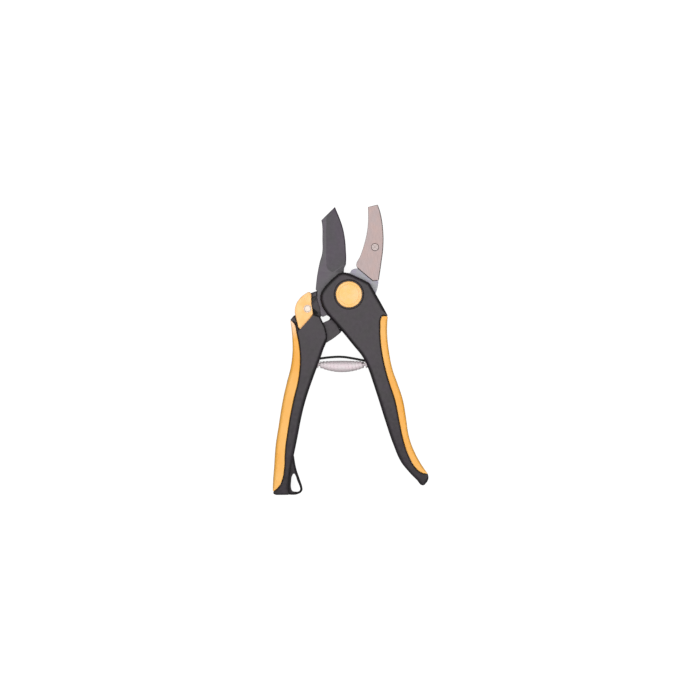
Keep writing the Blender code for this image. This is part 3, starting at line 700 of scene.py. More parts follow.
def two_toned(name, base, roughness, tones, patch, sheen, grain, metallic=0.0, **sockets):
    """A material of two tones in patches, with uneven sheen and a fine grain.

    patch is the patches' size, detail and limits, sheen a size and a spread of roughness,
    and grain a size, detail and depth.
    """
    look = Look(name, base, roughness, metallic, **sockets)
    look.colour(look.patches(*patch, *tones))
    look.rough(look.noise(sheen[0], 4), sheen[1])
    look.bumps((look.noise(*grain[:2]), grain[2]))
    return look.material


def coating(name, base, roughness, metallic, tones, cast, streak, pale):
    """Dark non-stick coating over ground steel, streaked across by the grinding wheel.

    cast and streak are the sizes of the patches and of the streaks, each with how far they
    are drawn out.
    """
    look = Look(name, base, roughness, metallic)
    toned = look.patches(cast[0], 2, (0.38, 0.64), *tones, (1, cast[1], 1))
    streaks = look.noise(streak[0], 4, (streak[1], 1, 1), turn=8)
    look.colour(look.blended(look.ranged(streaks, 0.45, 0.75, 0.0, 0.5), toned, pale))
    look.rough(look.noise(3, 4), 0.07)
    look.bumps((streaks, 0.006), (look.noise(0.4, 2), 0.004))
    return look.material


def hook_satin():
    """Satin steel with a warm cast, brushed along its length."""
    look = Look("hook_satin", (0.36, 0.275, 0.265), 0.42, 1.0)
    brushed = look.noise(0.35, 4, (1, 16, 1), turn=-8)
    base = look.patches(8, 3, (0.38, 0.66), (0.27, 0.219, 0.216), (0.293, 0.219, 0.206))
    share = look.ranged(brushed, 0.4, 0.75, 0.0, 0.45)
    look.colour(look.blended(share, base, (0.223, 0.179, 0.176)))
    look.rough(brushed, 0.05)
    look.bumps((brushed, 0.004))
    return look.material


def ground_steel():
    """Grey steel, ground slantwise."""
    look = Look("ground_steel", (0.27, 0.27, 0.285), 0.4, 1.0)
    lines = look.noise(0.3, 4, (18, 1, 1), turn=38)
    base = look.patches(4, 3, (0.42, 0.68), (0.2, 0.202, 0.21), (0.205, 0.19, 0.24))
    look.colour(look.blended(look.ranged(lines, 0.4, 0.7, 0.0, 0.4), base, (0.15, 0.15, 0.155)))
    look.rough(lines, 0.06)
    look.bumps((lines, 0.004))
    return look.material


def spring_plate():
    """Bright plating with a faint warm cast."""
    look = Look("spring_plate", (0.54, 0.48, 0.5), 0.5, 0.15)
    tones = (0.52, 0.475, 0.485), (0.565, 0.465, 0.495)
    look.colour(look.patches(3, 3, (0.38, 0.66), *tones, (3, 1, 1)))
    look.rough(look.noise(0.8, 4), 0.06)
    look.bumps((look.noise(0.4, 2, (6, 1, 1)), 0.003))
    return look.material


def polished_rivet():
    look = Look("polished_rivet", (0.62, 0.56, 0.52), 0.22, 1.0)
    rubbed = look.noise(0.4, 5)
    share = look.ranged(rubbed, 0.5, 0.75, 0.0, 0.5)
    look.colour(look.blended(share, (0.33, 0.28, 0.27), (0.2, 0.16, 0.155)))
    look.rough(rubbed, 0.06)
    look.bumps((rubbed, 0.003))
    return look.material


def pale_floor():
    """White ground. Only the camera sees its glow, so it doesn't light the shears."""
    look = Look("pale_floor", (0.18, 0.18, 0.18), 0.85, Specular_IOR_Level=0.1)
    mottle = look.noise(60, 3)
    share = look.ranged(mottle, *NOISE_SPAN)
    look.colour(look.blended(share, (0.175, 0.175, 0.176), (0.185, 0.185, 0.184)))
    look.rough(mottle, 0.04)
    look.set("Emission Color", (1, 1, 1, 1))
    seen = look.nodes.new("ShaderNodeLightPath").outputs["Is Camera Ray"]
    glow = look.ranged(seen, 0, 1, 0.0, FLOOR_GLOW)
    look.links.new(glow, look.shader.inputs["Emission Strength"])
    return look.material


BLACK = black_moulding()
YELLOW = grip_moulding()
SATIN = hook_satin()
STEEL = ground_steel()
BRIGHT = spring_plate()
POLISHED = polished_rivet()
COATING = coating(
    "blade_coating", (0.04, 0.032, 0.042), 0.42, 0.25,
    ((0.056, 0.053, 0.056), (0.062, 0.049, 0.065)),
    cast=(11, 1.8), streak=(0.5, 14), pale=(0.08, 0.072, 0.082),
)
# The same coating, made darker for the blade's ground faces as painted shade.
SHADED_BEVEL_COATING = coating(
    "ground_faces_painted_shade", (0.03, 0.024, 0.032), 0.44, 0.15,
    ((0.031, 0.0275, 0.032), (0.038, 0.0255, 0.041)),
    cast=(12, 2), streak=(0.45, 16), pale=(0.05, 0.042, 0.052),
)
CATCH_YELLOW = two_toned(
    "catch_moulding", (0.84, 0.45, 0.1), 0.4, ((0.78, 0.4, 0.12), (0.8, 0.47, 0.19)),
    patch=(6, 3, (0.4, 0.66)), sheen=(2.2, 0.05), grain=(0.3, 2, 0.01),
)
CAP_YELLOW = two_toned(
    "cap_moulding", (0.84, 0.5, 0.13), 0.38, ((0.8, 0.43, 0.12), (0.78, 0.46, 0.2)),
    patch=(7, 3, (0.38, 0.66)), sheen=(2, 0.05), grain=(0.35, 2, 0.008),
)
ZINC = two_toned(
    "zinc_plate", (0.8, 0.72, 0.64), 0.5, ((0.64, 0.53, 0.44), (0.68, 0.59, 0.51)),
    patch=(0.9, 4, (0.4, 0.66)), sheen=(0.6, 0.06), grain=(0.3, 3, 0.004), metallic=0.2,
)
BLACKENED = two_toned(
    "blackened_steel", (0.005, 0.005, 0.005), 0.55, ((0.004, 0.004, 0.004), (0.016, 0.015, 0.015)),
    patch=(0.9, 6, (0.6, 0.8)), sheen=(1.2, 0.08), grain=(0.25, 3, 0.004),
    Specular_IOR_Level=0.12,
)
BRONZE = two_toned(
    "plain_bronze", (0.5, 0.31, 0.13), 0.35, ((0.52, 0.33, 0.14), (0.3, 0.18, 0.08)),
    patch=(1.4, 5, (0.45, 0.75)), sheen=(1, 0.08), grain=(0.3, 2, 0.003), metallic=1.0,
)
RUBBER = two_toned(
    "pad_rubber", (0.014, 0.013, 0.013), 0.8, ((0.012, 0.011, 0.011), (0.03, 0.028, 0.027)),
    patch=(1.8, 5, (0.45, 0.75)), sheen=(1, 0.08), grain=(0.2, 3, 0.01),
)


# --- Outlines ---


def ramp_radius(degrees):
    """The blade heel's radius at an angle: round at first, then rising to the lobe."""
    share = (degrees - RAMP_START) / (RAMP_END - RAMP_START)
    return HEEL_RADIUS + (LOBE_RADIUS - HEEL_RADIUS) * min(max(share, 0.0), 1.0)


BLADE_OUTLINE = (
    sharp((-10.3, 64.9), (-20.4, 54.9))
    + smooth((-19.8, 51.5), (-19.6, 41), (-19.8, 30.5), (-21.6, 23.8), (-23.5, 13.9))
    + sharp((-24.6, 3.6), polar(HEEL_RADIUS, 174))
    + smooth(*arc(HEEL_RADIUS, 181, 199, 2))
    + smooth(polar(HEEL_RADIUS, RAMP_START), polar(ramp_radius(211.4), 211.4))
    + sharp(polar(LOBE_RADIUS, RAMP_END), (-19, -16.6), (-16.6, -15.3), (-14.5, -16.4))
    + smooth((-6, -17.5), (2, -21.5), (8.2, -29), (13, -38), (18.5, -49))
    + sharp((22, -61), (26, -60))
    + smooth((23.5, -48), (21.5, -36), (20.2, -26), (18.3, -14))
    + smooth(*arc(13.4, -8, 98, 4))
    + sharp((-3.8, 16.6), (-3.5, 19.6), (-2.1, 22.4))
    + smooth((-1.9, 27), (-2.1, 32.1), (-2.6, 39.4), (-4.1, 48.2), (-6.2, 55))
)
CARRIER_OUTLINE = (
    smooth((0.7, 16.1), (2.1, 18.1), (3.8, 18.9))
    + sharp((7.6, 19.4))
    + smooth((10.8, 29), (14.2, 40))
    + sharp((15.8, 46), (21.6, 46))
    + smooth((22.6, 36), (21.6, 22))
    + sharp((19.6, 11.2), (21.9, 9.8))
    + smooth((21.1, 5), (19.9, 1.1), (17.2, -5.5))
    + smooth(*arc(16.1, -34, -70, 2))
    + smooth((-4, -21.5), (-9, -28.5), (-15, -32.5), (-22, -37.5), (-27.5, -46))
    + sharp((-31, -62), (-35.3, -61))
    + smooth((-34.4, -46), (-29.5, -35.5), (-22, -27), (-18, -23.4), (-12.5, -19.9))
    + smooth(*arc(16.1, 224, 94, 7))
)
HOOK_OUTLINE = (
    sharp((14.1, 64.8), (21.4, 66.6))
    + smooth((23.5, 60), (25.3, 48), (25.5, 36), (24, 23))
    + sharp((22.1, 10.4), (17.5, 10.1), (6.2, 19.7))
    + smooth((5.5, 22), (8.4, 28.4), (11.5, 37.8), (13.7, 48.2), (14.3, 57))
)
CATCH_OUTLINE = (
    smooth((-29.2, 1.7), (-28, 0.2), (-27.8, -3), (-27.6, -8))
    + sharp((-27, -10.6), (-26.5, -14.9))
    + smooth(*arc(TAIL_LENGTH, TAIL_START + 7.5, TAIL_START + 1.5, 1, CATCH_CENTRE))
    + smooth((-38.4, -20.5), (-39.6, -15.6), (-40, -12), (-38.9, -7), (-35.6, -2.2))
    + smooth((-32, 0.6))
)


# The right handle's silhouette runs clockwise from the head's left corner, in stretches that
# meet where the grip begins and ends.
RIGHT_HEAD = (
    smooth(polar(21.7, 190), polar(20.8, 178), polar(19.4, 168), (-15, 8.8))
    + sharp((-7.8, 15.5))
    + smooth((-3.8, 16.3), (0.8, 15.3), (6.3, 12.9), (11.3, 10.6))
    + sharp((15.4, 8.4))
    + smooth((19.8, 0.5), (24.3, -7.4), (28.6, -15.4))
)
RIGHT_SEAM = (
    smooth((28.7, -15.9), (27.4, -16.1), (25.0, -16.1), (23.5, -18.6), (23.2, -24), (23.2, -30))
    + smooth((24.3, -41.4), (27.2, -55.6), (29.9, -65), (34.2, -78.3), (37.6, -95.1))
    + smooth((40.4, -108.1), (44.4, -119.7), (48.9, -127.6), (53.6, -131.6), (58.2, -132.7))
)
RIGHT_OUTER = (
    smooth((28.75, -16.2), (28.4, -20), (28.3, -30), (29.5, -41.4), (32.3, -55.6))
    + smooth((35.8, -65.5), (39.9, -78), (42.2, -91), (44.5, -105.5), (48.9, -117.3))
    + smooth((54.6, -127.4), (58.1, -132.3))
)
RIGHT_FOOT_AND_INNER = (
    smooth((58.5, -133), (58.8, -136), (57, -139.6), (54.6, -141.2), (50, -137))
    + smooth((44, -130.8), (38.5, -123.8), (33, -111.4), (27.4, -95.1), (22.3, -78.9))
    + smooth((17.5, -64.1), (14.2, -54.6), (10.7, -47.1), (2.2, -36.3), (-5.7, -26.6))
    + smooth((-11, -20.5), polar(21.8, 222), polar(21.8, 205))
)

LEFT_TOP_AND_INNER = (
    sharp((-43.2, -18.6), (-40.3, -15.2), (-26.6, -14.3), (-21.5, -15.9), (-19.1, -21))
    + sharp((-17.5, -24.1))
    + smooth((-16.2, -32.7), (-19, -40.8), (-20.9, -46.5), (-23.2, -52.8), (-26, -60.3))
    + smooth((-29.6, -70.6), (-32.4, -79.5), (-35.2, -90.8), (-38, -105.2), (-40.4, -117))
    + smooth((-43.4, -131))
    + sharp((-44.2, -148.2), (-54.2, -148.3))
    + smooth((-56, -146.9), (-56.1, -146.2))
)
LEFT_SEAM = (
    smooth((-43.35, -18.9), (-40.4, -21.8), (-38.6, -28.9), (-36.9, -38), (-36.2, -47.1))
    + smooth((-36.6, -56.7), (-38, -65.8), (-40.3, -74.9), (-43.1, -88), (-45.4, -101.8))
    + smooth((-47.1, -114.3), (-48, -130.2), (-49.5, -137.6), (-52.2, -142.6), (-56.2, -145.9))
)
LEFT_OUTER = (
    smooth((-56.25, -145.4), (-56.2, -140), (-55.3, -127.4), (-54.2, -112), (-52.1, -98))
    + smooth((-48.8, -77.8), (-45.7, -64.3), (-43.2, -54.5), (-41.8, -44.3), (-41.7, -35.7))
    + smooth((-42.4, -26), (-43.3, -19.4))
)
PIVOT_ARM_OUTLINE = (
    smooth(*arc(CHEEK_RADIUS, -74, 222, 14))
    + sharp((-14.7, -18.9), (-20, -21.5), (-30, -32), (-20, -38))
    + smooth((-15.9, -35.2), (-11.3, -32.3))
    + sharp((-6.4, -28.4))
)
FLANGE_OUTLINE = (
    sharp((-24, -21), (-19, -20.8), (-14.7, -18.9), (-10.6, -18), (-6.4, -27.4))
    + sharp((-6.6, -28.5))
    + smooth((-11.3, -32.3), (-15.9, -35.2))
    + sharp((-22, -38.5))
)
PLATFORM_OUTLINE = (
    sharp((-24.1, 2.5))
    + smooth(*arc(22.4, 174, 214, 3))
    + sharp((-20.9, -16.6), (-23, -22), (-34, -22), (-38.9, -15.5))
    + smooth((-38.9, -12), (-37.9, -7), (-34.6, -2.6), (-31.5, -0.4))
    + sharp((-28.6, 0.9))
)


def wall_back(degrees):
    """A point that the blade's heel just clears when the handles are closed."""
    return polar(ramp_radius(degrees + CLOSING_ANGLE) + GAP, degrees)


WALL_OUTLINE = (
    sharp(wall_back(174))
    + smooth(wall_back(178))
    + sharp(wall_back(181), wall_back(183), (-27.3, -1.9), (-27.3, -0.4))
)
CATCH_SLOT_OUTLINE = (
    sharp((-40.4, -9), (-40.4, -15.4))
    + sharp(polar(SLOT_REACH + 0.2, TAIL_START + 0.3, CATCH_CENTRE))
    + smooth(*arc(SLOT_REACH, TAIL_START + 10, TAIL_START + CATCH_TURN + 4, 3, CATCH_CENTRE))
    + sharp((-23.4, -25.6), (-23.4, -9))
)
CATCH_WINDOW = sharp((-41, -9), (-40.7, -15.4), (-37.5, -27.3), (-25.9, -14.6), (-22, -9))
LANYARD_LOOP_OUTLINE = (
    sharp((-48, -117), (-40.9, -118))
    + smooth((-39.1, -128.5), (-36.3, -137.1), (-34.5, -142.8), (-34.5, -145), (-36.8, -147.4))
    + sharp((-48, -148))
)
LANYARD_HOLE_OUTLINE = (
    smooth((-40.6, -132.6), (-42.1, -134.4), (-42.8, -138), (-42.8, -143.6), (-42, -145.4))
    + smooth((-39.4, -146.1), (-37, -145.7), (-36.1, -144.2), (-36.4, -142.2))
    + smooth((-38.2, -137.8), (-39.6, -133.8))
)

# What the left handle's body carries beside its core: an outline, back, front, corner and rim.
LEFT_PARTS = {
    "arm": (PIVOT_ARM_OUTLINE, CHEEK_BACK, CHEEK_FRONT, 0.6, 0.5),
    "flange": (FLANGE_OUTLINE, FLANGE_BACK, FLANGE_FRONT, 0.5, 0.6),
    "platform": (PLATFORM_OUTLINE, PLATFORM_BACK, PLATFORM_FRONT, 0.8, 0.6),
    "wall": (WALL_OUTLINE, WALL_BACK, WALL_FRONT, 0.4, 0.35),
}


def retainer_line(half):
    """The closed line around the strip over the spring, half its thickness from its middle."""
    middle = [(-23.4, -47.7), (-14, -46.5), (-5, -46.2), (2.3, -47.2), (9.7, -48.6), (13.4, -49.2)]
    line = open_line(smooth(*middle))
    return shifted(line, half) + shifted(line, -half)[::-1]


# --- Rooms for other parts ---

RIGHT_SCREWS = ("right_screw_upper", "right_screw_lower")
LEFT_SCREWS = ("left_screw_upper", "left_screw_lower")
SCREW_BORE = [(0, 14.6), (1.7, 14.6), (1.7, 2.7), (3.4, 2.7), (3.4, 0.4), (3.8, 0.0)]
SCREW_BORE += [(3.8, UNDER_ALL), (0, UNDER_ALL)]
CATCH_BORE = [(0, 20), (1.8, 20), (1.8, 4.2), (3.0, 4.2), (3.0, UNDER_ALL), (0, UNDER_ALL)]
SEAT_POCKET = [(0, 6), (3.0, 6), (3.0, -1.7), (1.9, -1.7), (1.9, -4.5), (0, -4.5)]


def screw_bores(nodes):
    return [spun(node + "_bore", SCREW_BORE, centre(node), SMALL_STEPS) for node in nodes]


def tang_holes(nodes):
    return [through(node + "_hole", TANG_HOLE, centre(node)) for node in nodes]


def spring_point(share):
    """A point on the spring's middle line, and its direction there."""
    left, right = Vector((SPRING_LEFT, SPRING_LEVEL)), Vector((SPRING_RIGHT, SPRING_LEVEL))
    point = left.lerp(right, share)
    point.y -= 4 * SPRING_SAG * share * (1 - share)
    along = right - left
    along.y -= 4 * SPRING_SAG * (1 - 2 * share)
    return point, along.normalized()


def aimed(piece, share):
    """Stands a turned piece on the spring's line, its top towards the spring's middle."""
    point, along = spring_point(share)
    facing = along if share < 0.5 else -along
    piece.rotation_euler = Vector((*facing, 0)).to_track_quat("Z", "Y").to_euler()
    piece.location = Vector((*point, SPRING_HEIGHT)) * MM
    return piece


def seat_pocket(name, share):
    return aimed(spun(name, SEAT_POCKET, steps=SMALL_STEPS), share)


def retainer_room(name):
    line = retainer_line(RETAINER_THICKNESS / 2 + GAP)
    return slab(name, line, RETAINER_BACK - GAP, RETAINER_FRONT + GAP)


# --- Handles ---


def rim_near(seam, close, far):
    """Rim size as a function of place: one size close to the seam, another far from it."""
    line = numpy.array(evenly(open_line(seam), SEAM_STEPS))

    def size(x, y):
        near = float(numpy.hypot(line[:, 0] - x, line[:, 1] - y).min())
        share = min(max((near - SEAM_CLOSE) / (SEAM_FAR - SEAM_CLOSE), 0.0), 1.0)
        return close + (far - close) * share

    return size


def handle_solid(name, line, shape, rim):
    return loft(name, softened(thinned(line), CORNER), edged(0, HANDLE_FRONT, shape), rim)


def head_pocket_line():
    """The room under the head, in which the carrier, the cheek and the catch turn."""
    return outline(
        smooth(*arc(HEAD_POCKET_RADIUS, 15, -58, 5))
        + sharp((8.6, -28.6), (2.8, -38.2), (-12, -38.2), (-45, -20), (-45, 40), (21, 40))
    )


def make_right_body():
    seam = shifted(open_line(RIGHT_SEAM), -SEAM)
    line = open_line(RIGHT_HEAD) + seam + open_line(RIGHT_FOOT_AND_INNER)
    rim = rim_near(RIGHT_SEAM, BODY_SEAM_RIM, HANDLE_RIM)
    body = handle_solid("head_and_right_handle", line, EASED_RIM, rim)
    cut(body, slab("head_room", head_pocket_line(), UNDER_ALL, HEAD_BACK))
    tang = grown(outline(BLADE_OUTLINE), GAP)
    cut(body, slab("tang_room", tang, BLADE_BACK - GAP, BLADE_FRONT + TANG_GAP))
    recess = [(0, UNDER_ALL), (BOLT_RADIUS + GAP, UNDER_ALL), (BOLT_RADIUS + GAP, CAP_RECESS_FLOOR)]
    recess.append((CAP_RECESS_RADIUS, CAP_RECESS_FLOOR))
    for moved, raised in ROUND_RIM:
        reach = CAP_RECESS_RADIUS + RECESS_LIP * moved
        recess.append((reach, HANDLE_FRONT + RECESS_LIP * raised))
    recess += [(CAP_RECESS_RADIUS + RECESS_LIP, OVER_ALL), (0, OVER_ALL)]
    cut(body, spun("cap_room", recess))
    cut(body, *screw_bores(RIGHT_SCREWS))
    cut(body, seat_pocket("right_seat_room", 1))
    cut(body, retainer_room("right_strip_room"))
    finished(body, BLACK, "blade_handle", "black_plastic", "right_handle_body")


def make_grip(name, line, seam, body, node):
    rim = rim_near(seam, GRIP_SEAM_RIM, GRIP_RIM)
    grip = handle_solid(name, line, ROUND_RIM, rim)
    finished(grip, YELLOW, body, "yellow_plastic", node)


def make_right_grip():
    line = open_line(RIGHT_SEAM) + open_line(RIGHT_OUTER)[::-1]
    make_grip("right_grip_shell", line, RIGHT_SEAM, "blade_handle", "right_grip")


def make_left_body():
    seam = shifted(open_line(LEFT_SEAM)[::-1], -SEAM)
    line = open_line(LEFT_TOP_AND_INNER) + seam
    by_seam = rim_near(LEFT_SEAM, BODY_SEAM_RIM, HANDLE_RIM)

    def rim(x, y):
        """Smaller at the handle's top, and beside the head."""
        at_top = x < -36 and y > -25
        beside_head = x > -29 and y > -33
        if at_top:
            return LEFT_TOP_RIM
        return min(by_seam(x, y), LEFT_INNER_RIM) if beside_head else by_seam(x, y)

    body = handle_solid("left_handle_core", line, EASED_RIM, rim)
    slot = outline(CATCH_SLOT_OUTLINE)
    cut(body, slab("tail_room", slot, PLATFORM_FRONT + GAP, LEVER_FRONT + GAP))
    cut(body, slab("tail_window", outline(CATCH_WINDOW), WINDOW_FLOOR, OVER_ALL))
    for name, (points, back, front, corner, rounding) in LEFT_PARTS.items():
        combined(body, "UNION", slab(name, outline(points, corner), back, front, rounding))
    bar = outline(LANYARD_LOOP_OUTLINE, LOOP_CORNER)
    loop = loft("loop", bar, edged(LOOP_BACK, LOOP_FRONT, CROWNED_RIM), LOOP_RIM)
    cut(loop, flared("eye", outline(LANYARD_HOLE_OUTLINE), LOOP_FRONT, EYE_LIP))
    combined(body, "UNION", loop)
    carrier = grown(outline(CARRIER_OUTLINE), GAP)
    cut(body, slab("tang_room", carrier, CHEEK_FRONT, CARRIER_FRONT + GAP))
    cut(body, peg("nut_room", NUT_RECESS_RADIUS, UNDER_ALL, NUT_RECESS_DEPTH, steps=ROUND_STEPS))
    cut(body, peg("bush_room", BUSH_RADIUS + GAP, UNDER_ALL, CARRIER_FRONT))
    cut(body, spun("catch_rivet_room", CATCH_BORE, CATCH_CENTRE, SMALL_STEPS))
    cut(body, seat_pocket("left_seat_room", 0))
    cut(body, retainer_room("left_strip_room"))
    cut(body, *screw_bores(LEFT_SCREWS))
    finished(body, BLACK, "hook_handle", "black_plastic", "left_handle_body")


def make_left_grip():
    line = open_line(LEFT_OUTER) + open_line(LEFT_SEAM)
    make_grip("left_grip_shell", line, LEFT_SEAM, "hook_handle", "left_grip")


# --- Blade and hook ---


def grinding(name, inner, outer, inner_height, outer_height):
    """A cutter for what is in front of a ruled face between two lines at two heights."""
    rows = [
        [(*a, inner_height), (*b, outer_height), (*b, OVER_ALL), (*a, OVER_ALL)]
        for a, b in zip(evenly(inner, GRINDING_STEPS), evenly(outer, GRINDING_STEPS))
    ]
    return swept(name, rows)


BEVEL_LINE = sharp((-16.4, 61.5)) + smooth(
    (-16.7, 54), (-16.8, 38), (-16.7, 24), (-16.1, 19.6), (-13.6, 17.2), (-9, 16.5), (-2.4, 16.4)
)
CUTTING_EDGE = smooth(
    (-10.3, 64.9), (-6.2, 55), (-4.1, 48.2), (-2.6, 39.4), (-2.1, 32.1), (-1.9, 27), (-2.1, 22.4)
)


def make_blade():
    """The blade: its front is ground from the bevel line to the edge, and again at the edge."""
    blade = slab("bypass_blade", outline(BLADE_OUTLINE, 0.5), BLADE_BACK, BLADE_FRONT, BLADE_RIM)
    edge = open_line(CUTTING_EDGE)
    beyond = [(-9.2, 68.0)] + shifted(edge, PAST_EDGE) + [(-1.2, 19.0), (-1.4, 15.9)]
    low = BLADE_BACK + HOLLOW_AT_EDGE
    cut(blade, grinding("hollow", open_line(BEVEL_LINE), beyond, BLADE_FRONT, low))
    near = [(-12.2, 66.9)] + shifted(edge, -EDGE_GRIND) + [(-3.6, 20.6)]
    past = [(-9.0, 68.0)] + shifted(edge, PAST_EDGE) + [(-0.8, 19.0)]
    cut(blade, grinding("edge", near, past, BLADE_BACK + GRIND_TOP, BLADE_BACK + GRIND_PAST_EDGE))
    cut(blade, through("bolt_room", BOLT_RADIUS + GAP), *tang_holes(RIGHT_SCREWS))
    finished(blade, COATING, "blade_handle", "blade_coat", "cutting_blade", crease=BLADE_CREASE)
    blade.data.materials.append(SHADED_BEVEL_COATING)
    # The ground faces are those in front that lean towards the edge; they take the darker copy of
    # the coating, which is painted shade.
    for face in blade.data.polygons:
        if face.normal.z > 0.4 and face.normal.x > 0.08 and face.center.y > 15 * MM:
            face.material_index = 1


def make_carrier():
    line = outline(CARRIER_OUTLINE, 0.4)
    carrier = slab("hook_carrier_plate", line, CARRIER_BACK, CARRIER_FRONT, PLATE_RIM)
    step = sharp((-3, 27), (6.1, 19.3), (17.4, 9.8), (26, 10.1), (30, 60), (5, 60))
    cut(carrier, slab("step", outline(step), TONGUE_FRONT, OVER_ALL))
    cut(carrier, through("bush_room", BUSH_RADIUS + GAP))
    cut(carrier, *tang_holes(LEFT_SCREWS))
    for place in (RIVET_CENTRE, LOWER_RIVET_CENTRE):
        cut(carrier, through("rivet_room", RIVET_HOLE, place))
    finished(carrier, STEEL, "hook_handle", "bare_steel", "hook_carrier")


def hook_rim(x, y):
    """The hook's outer rim is well rounded, its step less so and its inner rim hardly."""
    above_step = y - 19.7 + 0.85 * (x - 6.2)
    right_of_middle = x - 12.6 - 0.13 * (y - 10.0)
    if above_step < 0.6:
        return HOOK_STEP_RIM
    return HOOK_OUTER_RIM if right_of_middle > 0 else HOOK_INNER_RIM


def make_hook():
    hook = slab("counter_blade", outline(HOOK_OUTLINE, 0.5), CARRIER_BACK, HOOK_FRONT, hook_rim)
    tongue = grown(outline(CARRIER_OUTLINE), GAP)
    cut(hook, slab("tongue_room", tongue, UNDER_ALL, TONGUE_FRONT + GAP))
    upper = [(0, OVER_ALL), (3.2, OVER_ALL), (3.05, HOOK_FRONT - 0.15), (3.05, 8.9)]
    upper += [(RIVET_HOLE, 8.5), (RIVET_HOLE, UNDER_ALL), (0, UNDER_ALL)]
    cut(hook, spun("upper_rivet_room", upper, RIVET_CENTRE, FINE_STEPS))
    lower = peg("lower_rivet_room", RIVET_HOLE, UNDER_ALL, LOWER_RIVET_TOP, LOWER_RIVET_CENTRE)
    cut(hook, lower)
    finished(hook, SATIN, "hook_handle", "hook_steel", "hook_blade")


def make_upper_rivet():
    """A flush rivet, slightly crowned, with a ring turned in its face."""
    profile = [(0, 9.7), (0.5, 9.66), (0.68, 9.5), (0.74, 9.0), (1.4, 9.0), (1.46, 9.55)]
    profile += [(1.62, 9.7), (2.2, 9.66), (2.5, 9.5), (2.6, 9.3), (2.6, 9.0), (1.4, 8.6)]
    profile += [(1.4, 6), (2.15, 6), (2.3, 5.8), (2.1, 5.3), (1.9, 5.2), (0, 5.2)]
    rivet = spun("flush_rivet", profile, RIVET_CENTRE, FINE_STEPS)
    finished(rivet, POLISHED, "hook_handle", "hook_steel", "hook_rivet_upper")


# --- Pivot ---


def make_cap():
    top = CAP_FRONT
    profile = [(0, top), (3, top - 0.02), (5.4, top - 0.1), (6.9, top - 0.24), (7.3, top - 0.36)]
    profile += [(7.5, top - 0.62), (7.75, top - 0.7), (8.0, top - 0.6), (8.25, top - 0.4)]
    profile += [(8.7, top - 0.36), (9.2, top - 0.5), (9.55, top - 0.8), (9.7, top - 1.2)]
    profile += [(9.7, CAP_BACK), (8.2, CAP_BACK), (8.2, 16.7), (0, 16.7)]
    cap = spun("pivot_cap_disc", profile, steps=CAP_STEPS)
    finished(cap, CAP_YELLOW, "blade_handle", "cap_plastic", "pivot_cap")


def make_bolt():
    profile = [(0, 16.4), (6.3, 16.4), (6.9, 15.9), (6.9, 15.3), (4, 15.3), (4, 3.0)]
    for k in range(6):
        height = 2.9 - 0.4 * k
        profile += [(4.0, height), (3.75, height - 0.2)]
    profile += [(3.6, 0.3), (3.3, 0.0), (1.2, 0.0), (0.9, 0.5), (0, 0.7)]
    bolt = spun("pivot_bolt_shank", profile, steps=FINE_STEPS)
    finished(bolt, STEEL, "blade_handle", "bare_steel", "pivot_bolt")


def make_nut():
    """A hexagon nut with its corners chamfered on both faces."""
    back, front = heights("pivot_nut")
    nut = slab("pivot_nut_hex", arc(7.5, 0, 360, 6)[:-1], back, front)
    for name, sign, face in (("back_chamfer", 1, back), ("front_chamfer", -1, front)):
        clear = UNDER_ALL if sign > 0 else OVER_ALL
        ring = [(6.4, face), (9.4, face + sign * 1.6), (9.4, clear), (6.4, clear)]
        cut(nut, spun(name, ring, steps=FINE_STEPS))
    bore = [(0, OVER_ALL), (4.1, OVER_ALL), (4.1, back + 0.4), (4.5, back), (4.5, UNDER_ALL)]
    cut(nut, spun("thread", bore + [(0, UNDER_ALL)], steps=FINE_STEPS))
    finished(nut, STEEL, "blade_handle", "bare_steel", "pivot_nut")


def make_screw(node, body):
    """A pan-head screw with a cross recess, its head on the shears' back."""
    profile = [(0, 14.2), (0.5, 14.2), (1.4, 12.8), (1.4, 2.4), (2.85, 2.2), (2.9, 1.9)]
    profile += [(2.8, 1.2), (2.4, 0.75), (1.8, 0.55), (0, 0.5)]
    screw = spun(node + "_cross", profile, centre(node), SMALL_STEPS)
    x, y = centre(node)
    for turn in (20, 110):
        far = polar(CROSS_REACH, turn)
        side = polar(CROSS_HALF_WIDTH, turn + 90)
        arm = [
            (x + i * far[0] + j * side[0], y + i * far[1] + j * side[1])
            for i, j in ((1, 1), (-1, 1), (-1, -1), (1, -1))
        ]
        cut(screw, slab("cross", arm, UNDER_ALL, CROSS_FLOOR))
    finished(screw, STEEL, body, "bare_steel", node)


# --- Catch ---


def make_lever():
    """The thumb lever, with three shallow grooves across its top."""
    lever = slab("thumb_lever", outline(CATCH_OUTLINE, 0.9), LEVER_BACK, LEVER_FRONT, 0.9)
    for shift in (0.0, 1.5, 3.0):
        groove = [(-35.2, -4.6), (-34.8, -4.6), (-32.6, 1.4), (-33.0, 1.4)]
        groove = [(x + shift, y) for x, y in groove]
        cut(lever, slab("groove", groove, LEVER_FRONT - GROOVE_DEPTH, OVER_ALL))
    peg_centre = polar(PEG_REACH, TAIL_START + PEG_TURN, CATCH_CENTRE)
    cut(lever, through("rivet_room", LEVER_HOLE, CATCH_CENTRE))
    cut(lever, peg("peg_room", PEG_HOLE, UNDER_ALL, PEG_HOLE_TOP, peg_centre))
    finished(lever, CATCH_YELLOW, "catch", "catch_plastic", "catch_lever")


def make_catch_rivet():
    profile = [(0, 17.4), (1.2, 17.37), (1.8, 17.28), (2.2, 17.1), (2.45, 16.85), (2.55, 16.6)]
    profile += [(2.5, 16.42), (1.5, 16.42), (1.5, 3.9), (2.7, 3.9), (2.65, 3.4), (2.4, 2.9)]
    profile += [(1.8, 2.7), (0, 2.6)]
    rivet = spun("catch_pin", profile, CATCH_CENTRE, FINE_STEPS)
    finished(rivet, ZINC, "hook_handle", "bare_steel", "catch_rivet")


# --- Spring ---


